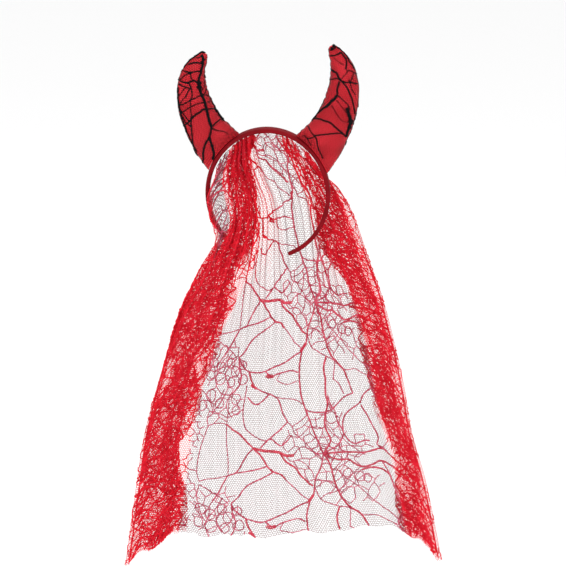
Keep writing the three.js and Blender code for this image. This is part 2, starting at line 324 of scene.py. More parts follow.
def bandRibTree():
    tree, given = startNodes(
        "ribbonRibs", [("Rib pitch", "Float"), ("Rib height", "Float"), ("Cloth", "Material")]
    )
    along = addNode(tree, "GeometryNodeInputNamedAttribute", {"Name": "along"}, data_type="FLOAT")
    turns = addNode(
        tree,
        "ShaderNodeMath",
        links={0: along.outputs["Attribute"], 1: given["Rib pitch"]},
        operation="DIVIDE",
    )
    phase = addNode(tree, "ShaderNodeMath", {1: 2 * math.pi}, {0: turns.outputs[0]}, operation="MULTIPLY")
    wave = addNode(tree, "ShaderNodeMath", links={0: phase.outputs[0]}, operation="COSINE")
    rise = addNode(
        tree, "ShaderNodeMath", {1: 0.5, 2: -0.5}, {0: wave.outputs[0]}, operation="MULTIPLY_ADD"
    )
    high = addNode(
        tree, "ShaderNodeMath", links={0: rise.outputs[0], 1: given["Rib height"]}, operation="MULTIPLY"
    )
    normal = addNode(tree, "GeometryNodeInputNormal")
    push = addNode(
        tree,
        "ShaderNodeVectorMath",
        links={0: normal.outputs[0], "Scale": high.outputs[0]},
        operation="SCALE",
    )
    moved = addNode(
        tree, "GeometryNodeSetPosition", links={0: given["Geometry"], "Offset": push.outputs[0]}
    )
    endNodes(tree, moved.outputs[0], given["Cloth"])
    return tree


def addBand(ribbon):
    step = cover["ribPitch"] / cover["ringsPerRib"]
    reach = armLength - band["armEndRound"]
    half = int(reach / step)
    shares = np.arange(-half, half + 1) * step / armLength
    ends = 1 - np.array(cover["endStops"]) * band["armEndRound"] / armLength
    shares = np.concatenate([-ends, shares, ends[::-1]])
    depth, thickness, close = bandSection(shares[:, None], cover["proud"])
    turn = 2 * math.pi * np.arange(cover["sides"]) / cover["sides"]

    def soften(k):
        return np.sign(k) * np.sqrt(np.abs(k))

    off = thickness / 2 * (soften(np.cos(turn)) * close - 1)
    rings = bandPoint(shares[:, None] * bandEndAngle, off, depth / 2 * soften(np.sin(turn)))
    tips = [bandPoint(side * bandEndAngle, -band["armEndThickness"] / 2, 0) for side in (-1, 1)]
    thing = closedSkin("bandWrap", rings, tips)
    along = np.append(np.repeat(shares * armLength, cover["sides"]), [-armLength, armLength])
    addAttribute(thing, "along", "FLOAT", along * mm)
    values = {"Rib pitch": cover["ribPitch"] * mm, "Rib height": cover["ribHeight"] * mm, "Cloth": ribbon}
    return runNodes(thing, bandRibTree(), values, "bandCover")


# The horns: stuffed satin under black net, with black web lines sewn in.

horn = {
    "seamFrom": 27,
    "seamTo": 71,
    "seamDepth": 11.6,
    "riseRight": 121,
    "riseLeft": 109,
    "lean": 31,
    "halfWidth": 24.4,
    "tipRadius": 5.3,
    "pleatDepth": 0.9,
    "pleats": 8,
    "pleatRows": 2,
    "seatGap": 0.3,
    "tipUp": 0.957,
    "tipOut": 0.635,
    "sides": 96,
    "stepsPerRow": 11,
    "tipRings": 12,
    "pucker": 0.42,
    "puckerPitch": 8.5,
    "lump": 0.35,
    "seamGroove": 0.45,
    "seamHalf": 0.05,
}
hornSections = [  # shares: up of the rise, out of the lean, half of the half width, deep of its own half
    (0.097, 0.234, 1.0, 0.6),
    (0.195, 0.497, 0.9, 0.74),
    (0.293, 0.686, 0.83, 0.82),
    (0.4, 0.843, 0.78, 0.86),
    (0.507, 0.946, 0.73, 0.9),
    (0.6, 1.0, 0.672, 0.92),
    (0.688, 1.0, 0.612, 0.95),
    (0.767, 0.968, 0.54, 0.97),
    (0.834, 0.885, 0.457, 1.0),
    (0.888, 0.785, 0.37, 1.0),
    (0.932, 0.69, 0.287, 1.0),
]


def hornRings(side, rise):
    middle = math.radians((horn["seamFrom"] + horn["seamTo"]) / 2)
    half = math.radians((horn["seamTo"] - horn["seamFrom"]) / 2)
    base = bandPoint(middle, 0, 0)
    ups = [0] + [row[0] for row in hornSections] + [horn["tipUp"]]
    outs = [0] + [row[1] for row in hornSections] + [horn["tipOut"]]
    middles = np.stack([base[0] + np.array(outs) * horn["lean"], base[2] + np.array(ups) * rise], axis=-1)
    turn = 2 * math.pi * np.arange(horn["sides"]) / horn["sides"]
    depth = horn["seamDepth"] / 2 * np.sin(turn)
    keys = [bandPoint(middle + half * np.cos(turn), horn["seatGap"], depth)]
    for r, (_, _, wide, deep) in enumerate(hornSections):
        ahead = middles[r + 2] - middles[r]
        ahead = ahead / np.linalg.norm(ahead)
        wide = wide * horn["halfWidth"]
        pleat = horn["pleatDepth"] * max(1 - r / horn["pleatRows"], 0)
        swell = 1 + pleat * np.cos(horn["pleats"] * turn) / wide
        across, at = wide * np.cos(turn), middles[r + 1]
        y = wide * deep * swell * np.sin(turn)
        keys.append(np.stack([at[0] + ahead[1] * across, y, at[1] - ahead[0] * across], axis=-1))
    keys = np.array(keys)
    last = len(keys) - 1
    rings = []
    for k in range(last):
        p0, p1, p2, p3 = keys[max(k - 1, 0)], keys[k], keys[k + 1], keys[min(k + 2, last)]
        for t in np.arange(horn["stepsPerRow"]) / horn["stepsPerRow"]:
            bend = (2 * p0 - 5 * p1 + 4 * p2 - p3) * t**2 + (3 * p1 - p0 - 3 * p2 + p3) * t**3
            rings.append(p1 + ((p2 - p0) * t + bend) / 2)
    rings.append(keys[last])
    ball = middles[-1]
    ahead = ball - middles[-2]
    ahead = ahead / np.linalg.norm(ahead)
    for rest in np.arange(1, horn["tipRings"]) / horn["tipRings"] * math.pi / 2:
        forward, radius = horn["tipRadius"] * math.sin(rest), horn["tipRadius"] * math.cos(rest)
        across = radius * np.cos(turn)
        x = ball[0] + ahead[0] * forward + ahead[1] * across
        z = ball[1] + ahead[1] * forward - ahead[0] * across
        rings.append(np.stack([x, radius * np.sin(turn), z], axis=-1))
    tip = np.array([ball[0] + ahead[0] * horn["tipRadius"], 0, ball[1] + ahead[1] * horn["tipRadius"]])
    rings = np.array(rings)
    rings[..., 0] *= side
    tip[0] *= side
    return rings, tip


def surfaceNormals(grid, closed):
    down = np.gradient(grid, axis=0)
    if closed:
        along = np.roll(grid, -1, axis=1) - np.roll(grid, 1, axis=1)
    else:
        along = np.gradient(grid, axis=1)
    normal = np.cross(along, down)
    return normal / np.maximum(np.linalg.norm(normal, axis=-1, keepdims=True), 1e-9)


def ringLengths(rings):
    middles = rings.mean(axis=1)
    steps = np.linalg.norm(np.diff(middles, axis=0), axis=-1)
    return np.concatenate([[0], np.cumsum(steps)])


def stuffedRings(rings):
    # the cloth's own small shapes: a soft lumpy filling, puckers inside the curve and two sewn seams
    turn = 2 * math.pi * np.arange(horn["sides"]) / horn["sides"]
    run = ringLengths(rings)[:, None]
    normal = surfaceNormals(rings, True)
    middles = rings.mean(axis=1, keepdims=True)
    if np.einsum("ijk,ijk->", normal, rings - middles) < 0:
        normal = -normal
    free = smoothstep(run, 1, 14) * (1 - smoothstep(run, run[-1] - 9, run[-1]))
    lump = np.zeros_like(rings[..., 0])
    for turns, pitch in ((2, 47), (3, 31), (5, 19), (7, 26)):
        phase = chance.uniform(0, 2 * math.pi, 2)
        lump += np.sin(turns * turn + phase[0] + run / 17) * np.sin(2 * math.pi * run / pitch + phase[1])
    # the side towards the crown, where the cloth is pressed together
    inner = np.clip(-np.cos(turn), 0, 1) ** 2
    ripple = np.sin(2 * math.pi * (run / horn["puckerPitch"] + 0.3 * np.sin(3 * turn + run / 9)))
    fromSeam = np.abs(np.sin(turn)) / horn["seamHalf"]
    off = free * (horn["lump"] * lump / 2 + horn["pucker"] * inner * ripple)
    off = off - free * horn["seamGroove"] * np.exp(-(fromSeam**2))
    return rings + normal * off[..., None]


def addHorn(name, side, rise, satin):
    rings, tip = hornRings(side, rise)
    rings = stuffedRings(rings)
    # the base is closed by points on the band's own curve, so that the seam hugs the band
    middle = side * math.radians((horn["seamFrom"] + horn["seamTo"]) / 2)
    angle = np.arctan2(rings[0][:, 0] / bandHalf, (rings[0][:, 2] - bandCentre) / bandRise)
    inner = [
        bandPoint(middle + (angle - middle) * close, horn["seatGap"], rings[0][:, 1] * close)
        for close in (0.35, 0.7)
    ]
    seat = bandPoint(middle, horn["seatGap"], 0)
    thing = closedSkin(name, np.concatenate([np.array(inner), rings]), [seat, tip])
    thing.data.materials.append(satin)
    return thing, rings


# Cloth laid round a horn: millimetres around from the front's middle, and along from the base.
class HornCloth:
    def __init__(self, rings):
        sides = rings.shape[1]
        order = (np.arange(sides + 1) + sides // 4) % sides  # from the middle of the back, right round
        loop = rings[:, order]
        steps = np.linalg.norm(np.diff(loop, axis=1), axis=-1)
        lengths = np.concatenate([np.zeros((len(rings), 1)), np.cumsum(steps, axis=1)], axis=1)
        self.around = lengths[:, -1]
        self.run = ringLengths(rings)
        even = np.linspace(0, 1, 193)
        rows = []
        for ring, length, whole in zip(loop, lengths, self.around):
            rows.append(np.stack([np.interp(even * whole, length, ring[:, i]) for i in range(3)], axis=-1))
        self.grid = np.array(rows)
        normal = surfaceNormals(self.grid, False)
        outward = self.grid - self.grid.mean(axis=1, keepdims=True)
        self.normal = normal if np.einsum("ijk,ijk->", normal, outward) > 0 else -normal

    def place(self, around, along):
        row = np.interp(along, self.run, np.arange(len(self.run)))
        whole = np.interp(along, self.run, self.around)
        column = (around / whole + 0.5) * (self.grid.shape[1] - 1)
        return readGrid(self.grid, row, column), readGrid(self.normal, row, column)


def readGrid(grid, row, column):
    row = np.clip(row, 0, grid.shape[0] - 1.001)
    column = np.clip(column, 0, grid.shape[1] - 1.001)
    r, c = row.astype(int), column.astype(int)
    u, v = (row - r)[..., None], (column - c)[..., None]
    top = grid[r, c] * (1 - v) + grid[r, c + 1] * v
    low = grid[r + 1, c] * (1 - v) + grid[r + 1, c + 1] * v
    return top * (1 - u) + low * u


# Thread work: the six-sided net and the plaited web lines, both made along paths by nodes.


def netTree():
    # every edge of the net becomes one flat thread
    tree, given = startNodes("netThreads", [("Thread width", "Float"), ("Thread", "Material")])
    across = addNode(tree, "GeometryNodeInputNamedAttribute", {"Name": "across"}, data_type="FLOAT_VECTOR")
    half = addNode(tree, "ShaderNodeMath", {1: -0.5}, {0: given["Thread width"]}, operation="MULTIPLY")
    back = addNode(
        tree,
        "ShaderNodeVectorMath",
        links={0: across.outputs["Attribute"], "Scale": half.outputs[0]},
        operation="SCALE",
    )
    moved = addNode(
        tree, "GeometryNodeSetPosition", links={0: given["Geometry"], "Offset": back.outputs[0]}
    )
    wide = addNode(
        tree,
        "GeometryNodeExtrudeMesh",
        links={
            "Mesh": moved.outputs[0],
            "Offset": across.outputs["Attribute"],
            "Offset Scale": given["Thread width"],
        },
        mode="EDGES",
    )
    endNodes(tree, wide.outputs["Mesh"], given["Thread"])
    return tree


def plaitTree():
    # every path becomes a flat plait: strands that swing from side to side, one after the other
    tree, given = startNodes(
        "webPlait",
        [
            ("Strands", "Int"),
            ("Strand radius", "Float"),
            ("Plait pitch", "Float"),
            ("Sides", "Int"),
            ("Thread", "Material"),
        ],
    )

    def attribute(name, kind):
        return addNode(
            tree, "GeometryNodeInputNamedAttribute", {"Name": name}, data_type=kind
        ).outputs["Attribute"]

    def math2(operation, a, b):
        links = {i: x for i, x in enumerate((a, b)) if not isinstance(x, (int, float))}
        values = {i: x for i, x in enumerate((a, b)) if isinstance(x, (int, float))}
        return addNode(tree, "ShaderNodeMath", values, links, operation=operation).outputs[0]

    def scaled(vector, by):
        return addNode(
            tree, "ShaderNodeVectorMath", links={0: vector, "Scale": by}, operation="SCALE"
        ).outputs[0]

    curve = addNode(tree, "GeometryNodeMeshToCurve", links={0: given["Geometry"]})
    strands = addNode(
        tree,
        "GeometryNodeDuplicateElements",
        links={"Geometry": curve.outputs[0], "Amount": given["Strands"]},
        domain="SPLINE",
    )
    share = math2("DIVIDE", strands.outputs["Duplicate Index"], given["Strands"])
    turns = math2("DIVIDE", attribute("run", "FLOAT"), given["Plait pitch"])
    phase = math2("MULTIPLY", math2("ADD", share, turns), 2 * math.pi)
    swing = math2("MULTIPLY", math2("SINE", phase, 0), attribute("halfBreadth", "FLOAT"))
    weave = math2("MULTIPLY", math2("COSINE", math2("MULTIPLY", phase, 2), 0), given["Strand radius"])
    sideways = scaled(attribute("across", "FLOAT_VECTOR"), swing)
    lift = scaled(attribute("facing", "FLOAT_VECTOR"), weave)
    offset = addNode(tree, "ShaderNodeVectorMath", links={0: sideways, 1: lift}, operation="ADD")
    moved = addNode(
        tree, "GeometryNodeSetPosition", links={0: strands.outputs[0], "Offset": offset.outputs[0]}
    )
    circle = addNode(
        tree,
        "GeometryNodeCurvePrimitiveCircle",
        links={"Resolution": given["Sides"], "Radius": given["Strand radius"]},
    )
    tube = addNode(
        tree,
        "GeometryNodeCurveToMesh",
        {"Fill Caps": True},
        {"Curve": moved.outputs[0], "Profile Curve": circle.outputs[0]},
    )
    endNodes(tree, tube.outputs[0], given["Thread"])
    return tree


def hexNet(width, length, pitch):
    # corners and edges of a net of six-sided cells over a rectangle
    side = pitch / math.sqrt(3)
    columns, rows = int(width / pitch) + 2, int(length / (1.5 * side)) + 2
    r, c = np.meshgrid(np.arange(rows), np.arange(columns), indexing="ij")
    x = (c + (r % 2) / 2) * pitch
    low = np.stack([x, r * 1.5 * side], axis=-1)
    high = low + np.array([0, side])
    number = r * columns + c
    points = np.concatenate([low.reshape(-1, 2), high.reshape(-1, 2)])
    count = rows * columns
    edges = [np.stack([number, number + count], axis=-1).reshape(-1, 2)]
    for lean in (0, 1):
        right = c + (r % 2) - lean  # the two corners above, one to each side
        fits = (right >= 0) & (right < columns) & (r + 1 < rows)
        above = (r + 1) * columns + right
        edges.append(np.stack([(number + count)[fits], above[fits]], axis=-1))
    return points, np.concatenate(edges)


def addNet(name, places, edges, facings, layerGlows, threadWidth, thread):
    # each edge has its own two ends and its own facing, so that its thread stays straight and even
    a, b = places[edges[:, 0]], places[edges[:, 1]]
    across = np.cross(b - a, facings)
    across /= np.maximum(np.linalg.norm(across, axis=-1, keepdims=True), 1e-9)
    ends = np.stack([a, b], axis=1).reshape(-1, 3)
    mesh = bpy.data.meshes.new(name + "Wire")
    mesh.vertices.add(len(ends))
    mesh.vertices.foreach_set("co", (ends * mm).ravel())
    mesh.edges.add(len(edges))
    mesh.edges.foreach_set("vertices", np.arange(len(ends), dtype=np.int32))
    mesh.update()
    wire = bpy.data.objects.new(name + "Wire", mesh)
    bpy.context.collection.objects.link(wire)
    addAttribute(wire, "across", "FLOAT_VECTOR", np.repeat(across, 2, axis=0))
    # painted light: how far each thread is painted in the brighter glow of gathered layers
    addAttribute(wire, "tone", "FLOAT", layerGlows[edges].ravel())
    return runNodes(wire, netTree(), {"Thread width": threadWidth * mm, "Thread": thread}, name)


def byTurns(edges, one, other):
    # flat threads that face two ways by turns look as full as round ones from every side
    return np.where(np.arange(len(edges))[:, None] % 2, one, other)


def smoothPath(path, step):
    # a curve through given points, sampled at even steps
    path = np.asarray(path, float)
    if len(path) > 2:
        padded = np.concatenate([[2 * path[0] - path[1]], path, [2 * path[-1] - path[-2]]])
        fine = []
        for k in range(len(path) - 1):
            p0, p1, p2, p3 = padded[k : k + 4]
            for t in np.arange(8) / 8:
                bend = (2 * p0 - 5 * p1 + 4 * p2 - p3) * t**2 + (3 * p1 - p0 - 3 * p2 + p3) * t**3
                fine.append(p1 + ((p2 - p0) * t + bend) / 2)
        path = np.array(fine + [path[-1]])
    run = np.concatenate([[0], np.cumsum(np.linalg.norm(np.diff(path, axis=0), axis=-1))])
    count = max(int(run[-1] / step), 1) + 1
    even = np.linspace(0, run[-1], count)
    return np.stack([np.interp(even, run, path[:, i]) for i in range(path.shape[1])], axis=-1)


def addWeb(name, paths, grades, thread, sides=3):
    # paths: (points, facings, breadth, painted glow of gathered layers). grades: how the plait is made up
    # to each breadth
    tree = plaitTree()
    parts = []
    low = 0
    for upTo, strands, radius, pitch in grades:
        points, edges, across, facing, run, half, tone = [], [], [], [], [], [], []
        start = 0
        for places, facings, breadth, layerGlows in paths:
            if not low < breadth <= upTo or len(places) < 2:
                continue
            ahead = np.gradient(places, axis=0)
            side = np.cross(ahead, facings)
            side /= np.maximum(np.linalg.norm(side, axis=-1, keepdims=True), 1e-9)
            steps = np.linalg.norm(np.diff(places, axis=0), axis=-1)
            points.append(places)
            across.append(side)
            facing.append(facings)
            run.append(chance.uniform(0, pitch) + np.concatenate([[0], np.cumsum(steps)]))
            half.append(np.full(len(places), max(breadth / 2 - radius, 0)))
            tone.append(np.broadcast_to(layerGlows, len(places)))
            edges.append(np.stack([np.arange(len(places) - 1), np.arange(1, len(places))], axis=-1) + start)
            start += len(places)
        low = upTo
        if not points:
            continue
        wire = addObject(name + "Paths", np.concatenate(points) * mm, edges=np.concatenate(edges))
        addAttribute(wire, "across", "FLOAT_VECTOR", np.concatenate(across))
        addAttribute(wire, "facing", "FLOAT_VECTOR", np.concatenate(facing))
        addAttribute(wire, "run", "FLOAT", np.concatenate(run) * mm)
        addAttribute(wire, "halfBreadth", "FLOAT", np.concatenate(half) * mm)
        addAttribute(wire, "tone", "FLOAT", np.concatenate(tone))
        values = {
            "Strands": strands,
            "Strand radius": radius * mm,
            "Plait pitch": pitch * mm,
            "Sides": sides,
            "Thread": thread,
        }
        parts.append(runNodes(wire, tree, values, name))
    return joined(name, parts)


def joined(name, parts):
    if len(parts) > 1:
        with bpy.context.temp_override(
            active_object=parts[0], object=parts[0], selected_objects=parts, selected_editable_objects=parts
        ):
            bpy.ops.object.join()
    whole = parts[0]
    whole.name = name
    whole.data.name = name
    shadeSmooth(whole)
    return whole


# The veil: one long cloth, gathered on the band, with both sides folded back behind it.

veil = {
    "length": 462,
    "spreadLeft": 156,
    "spreadRight": 189,
    "seamLeft": 62,
    "seamRight": 60,
    "flapWidthLeft": 52,
    "flapWidthRight": 32,
    "foldRadius": 3,
    "foldRadiusAtBand": 0.9,
    "pleatDepth": 3.2,
    "wall": 1.1,
    "armClearance": 2.4,
    "hemSway": 8,
    "hemDip": 2.4,
    "cornerDrop": 18,
    "pleats": 11,
    "spreadBy": 0.5,
    "stepAtArms": 28,
    "stepAtHem": 150,
    "stepMargin": 8,
    "hemSwayTurns": 1.4,
    "hemDipTurns": 5,
    "hemDipFrom": 0.82,
    "cornerFrom": 0.07,
    "cornerTo": 0.16,
    "stepFrom": 0.3,
    "stepTo": 0.93,
}
# shares: of the cloth, across
gathers = [(0, 0), (0.05, 0.12), (0.5, 0.36), (0.67, 0.64), (0.9, 0.78), (1, 1)]
veilFall = [  # shares: at of the length, left and right spread, swing in front and behind, pleats
    (0, 0.35, 0.289, 0.06, 0, 1),
    (0.03, 0.388, 0.335, 0.6, 0.8, 1),
    (0.07, 0.41, 0.395, 0.95, 1, 1),
    (0.12, 0.385, 0.455, 1, 1, 0.95),
    (0.17, 0.35, 0.5, 1, 1, 0.9),
    (0.24, 0.395, 0.556, 1, 1, 0.8),
    (0.34, 0.54, 0.642, 0.85, 0.9, 0.66),
    (0.45, 0.667, 0.711, 0.62, 0.76, 0.55),
    (0.57, 0.776, 0.774, 0.45, 0.64, 0.48),
    (0.69, 0.865, 0.823, 0.32, 0.55, 0.46),
    (0.81, 0.92, 0.905, 0.25, 0.5, 0.48),
    (1, 1, 1, 0.2, 0.45, 0.55),
]
flapFall = [  # shares: at of the length, left and right folded sides
    (0, 0.24, 0.33),
    (0.07, 0.42, 0.75),
    (0.24, 0.95, 1.4),
    (0.38, 1.08, 1.1),
    (0.5, 0.98, 0.96),
    (1, 1, 1),
]

# What only the dressed veil has: more layers in the folded sides, and finer creases. Each side is
# folded to and fro, and its folds are shares of the side's width.
cloth = {
    "main": 345,
    "curl": 9,
    "foldsLeft": (1.0, 0.95, 0.9, 0.8),
    "foldsRight": (1.15, 1.05, 0.95),
    "insetLeft": 17,
    "insetRight": 0,
    "insetCloth": 16,
    "insetFrom": 0.16,
    "insetTo": 0.3,
    "narrowestLeft": 25,
    "narrowestRight": 8,
    "turn": 4,
    "foldWander": 0.2,
    # the least painted glow of the folded sides: their threads are painted in the brighter red of light
    # between layers
    "sideGlow": 0.85,
    "step": 0.7,
    "rows": 430,
    "netPitch": 2.6,  # drawn a little coarser than the real 2 mm, which is too fine to show
    "netWidthFront": 0.5,
    "netWidthSides": 0.42,
    "netWobble": 0.5,
    "layerDepth": 0.85,  # share of the curl that the folded layers take up
    "insetSlack": 0.1,
    "raggedHem": 3.2,
    "creases": ((17.3, 0.5, 0.5), (26.1, 0.6, 0.75), (38.7, 0.4, 0.5), (57.1, 0.25, 0.3)),
}


def undersideOfCrown(x):
    innerHalf, innerRise = bandHalf - band["thickness"], bandRise - band["thickness"]
    share = np.minimum((np.abs(x) + veil["wall"] / 2) / (innerHalf - horn["seatGap"]), 1)
    return bandCentre + (innerRise - horn["seatGap"]) * np.sqrt(1 - share**2)


def veilEdges(fall):
    free = smoothstep(fall, 0, veilFall[2][0])
    innerHalf = bandHalf - band["thickness"]
    seamLeft = -innerHalf * math.sin(math.radians(veil["seamLeft"]))
    seamRight = innerHalf * math.sin(math.radians(veil["seamRight"]))
    left = lerp(seamLeft, -veil["spreadLeft"] * follow(veilFall, 1, fall), free)
    right = lerp(seamRight, veil["spreadRight"] * follow(veilFall, 2, fall), free)
    return left, right


def acrossAt(share, fall):
    return lerp(follow(gathers, 1, share), share, smoothstep(fall, 0, veil["spreadBy"]))


def veilStations():
    # where each part of the cloth starts, in millimetres from its left raw edge
    widths = [
        ("sideLeft", veil["flapWidthLeft"] * sum(cloth["foldsLeft"]) + cloth["insetCloth"]),
        ("curlLeft", cloth["curl"]),
        ("main", cloth["main"]),
        ("curlRight", cloth["curl"]),
        ("sideRight", veil["flapWidthRight"] * sum(cloth["foldsRight"]) + cloth["insetCloth"]),
    ]
    starts, at = {}, 0
    for name, wide in widths:
        starts[name] = at
        at += wide
    return starts, at


def foldedAside(beyond, flap, folds, fall):
    # lengths of cloth beyond the side edge: how far in they lie, as shares of the side, and their
    # layer. Every fold line wanders a little on its way down
    inward, layer = np.zeros_like(beyond), np.zeros_like(beyond)
    at, lines = 0, [0.0]
    for k, share in enumerate(folds):
        wander = cloth["foldWander"] * np.sin(2 * math.pi * ((2.3 + 0.9 * k) * fall + 0.37 * k * k))
        wander *= smoothstep(fall, 0.22, 0.4)
        line = lines[-1] + (-1) ** k * share
        way = (beyond - at) / (flap * share)
        turned = smoothstep(beyond, at, at + cloth["turn"]) if k else 1.0
        place = lerp(lines[-1] + (wanderBefore if k else 0), line + wander, way)
        inward = np.where(beyond >= at, np.maximum(place, 0), inward)
        layer = np.where(beyond >= at, k - 1 + turned, layer)
        lines.append(line)
        wanderBefore = wander
        at += flap * share
    return inward, layer


def veilRow(s, starts, fall):
    # x, how far behind the front layer, and the share of the main cloth, for one share of the fall
    left, right = veilEdges(fall)
    ring = lerp(veil["foldRadiusAtBand"], veil["foldRadius"], smoothstep(fall, 0, veilFall[3][0]))
    share = (s - starts["main"]) / cloth["main"]
    x = lerp(left, right, acrossAt(np.clip(share, 0, 1), fall))
    behind = np.zeros_like(s)
    insetNow = 1 - smoothstep(fall, cloth["insetFrom"], cloth["insetTo"])
    for side, edge, curlFrom, name in (
        (-1, left, starts["main"], "Left"), (1, right, starts["curlRight"], "Right")
    ):
        flap, inset, folds = veil["flapWidth" + name], cloth["inset" + name], cloth["folds" + name]
        least = cloth["narrowest" + name]
        beyond = side * (s - curlFrom)
        turn = np.clip(beyond / cloth["curl"], 0, 1) * math.pi
        curled = (beyond > 0) & (beyond <= cloth["curl"])
        x = np.where(curled, edge + side * np.sin(turn) * ring, x)
        behind = np.where(curled, ring * (1 - np.cos(turn)), behind)
        wide = flap * follow(flapFall, 1 if side < 0 else 2, fall)
        wide = max(wide - inset * insetNow, least * insetNow)
        aside = beyond - cloth["curl"]
        span = np.clip(aside / cloth["insetCloth"], 0, 1)
        inward, layer = foldedAside(aside - cloth["insetCloth"], flap, folds, fall)
        reach = span * lerp(cloth["insetCloth"] * cloth["insetSlack"], inset, insetNow) + inward * wide
        x = np.where(aside > 0, edge - side * reach, x)
        behind = np.where(aside > 0, 2 * ring * (1 - layer / len(folds) * cloth["layerDepth"]), behind)
    across = np.clip((x - left) / (right - left), 0, 1)
    table = np.linspace(0, 1, 801)
    share = np.interp(across, acrossAt(table, fall), table)
    return x, behind, across, share


def veilGrid():
    starts, whole = veilStations()
    s = np.arange(0, whole + cloth["step"], cloth["step"])
    falls = np.linspace(0, 1, cloth["rows"])
    topX, hemX = veilRow(s, starts, 0.0)[0], veilRow(s, starts, 1.0)[0]
    drop = np.sqrt(veil["length"] ** 2 - (hemX - topX) ** 2)
    top = undersideOfCrown(topX)
    innerHalf = bandHalf - band["thickness"]
    phases = chance.uniform(0, 2 * math.pi, (len(cloth["creases"]), 3))
    front = (s >= starts["main"]) & (s <= starts["curlRight"])
    rows = []
    for fall in falls:
        x, behind, across, share = veilRow(s, starts, fall)
        dip = veil["hemDip"] * np.sin(2 * math.pi * veil["hemDipTurns"] * across)
        dip = dip * smoothstep(fall, veil["hemDipFrom"], 1)
        nearSide = smoothstep(np.minimum(across, 1 - across), veil["cornerFrom"], veil["cornerTo"])
        z = top - drop * fall - dip - veil["cornerDrop"] * (1 - nearSide) * fall**3
        beside = np.interp(x, x[front], z[front])
        z = np.where(front, z, lerp(z, beside, smoothstep(fall, 0.2, 1)))
        past = smoothstep(
            band["thickness"] - z, band["height"] * veil["stepFrom"], band["height"] * veil["stepTo"]
        )
        seam = -innerHalf * math.sin(math.radians(veil["seamLeft"]))
        start = lerp(seam, veil["stepMargin"] - band["armEndGap"] / 2, past)
        wide = lerp(veil["stepAtArms"], veil["stepAtHem"], smoothstep(fall, veil["spreadBy"] / 2, 1))
        crossing = smoothstep((x - start) / wide, 0, 1)
        clear = band["crownDepth"] / 2 + veil["pleatDepth"] + veil["armClearance"]
        inFront = -(clear + 2 * veil["foldRadius"]) * follow(veilFall, 3, fall)
        swing = lerp(inFront, clear * follow(veilFall, 4, fall), crossing)
        pleat = veil["pleatDepth"] * follow(veilFall, 5, fall)
        y = swing + pleat * np.sin(2 * math.pi * veil["pleats"] * share) + behind
        y = y + veil["hemSway"] * fall**2 * np.sin(2 * math.pi * veil["hemSwayTurns"] * across)
        fade = 1 - 0.75 * smoothstep(fall, 0.15, 0.6)
        firm = smoothstep(fall, 0, 0.04)
        for (turns, depth, slide), phase in zip(cloth["creases"], phases):
            angle = 2 * math.pi * turns * share + phase[0] + 2.2 * np.sin(3.1 * fall + phase[1])
            y = y + depth * fade * firm * np.sin(angle)
            x = x + slide * fade * firm * np.cos(angle + phase[2])
        rows.append(np.stack([x, y, z], axis=-1))
    grid = np.array(rows)
    return grid, -surfaceNormals(grid, False), starts, whole
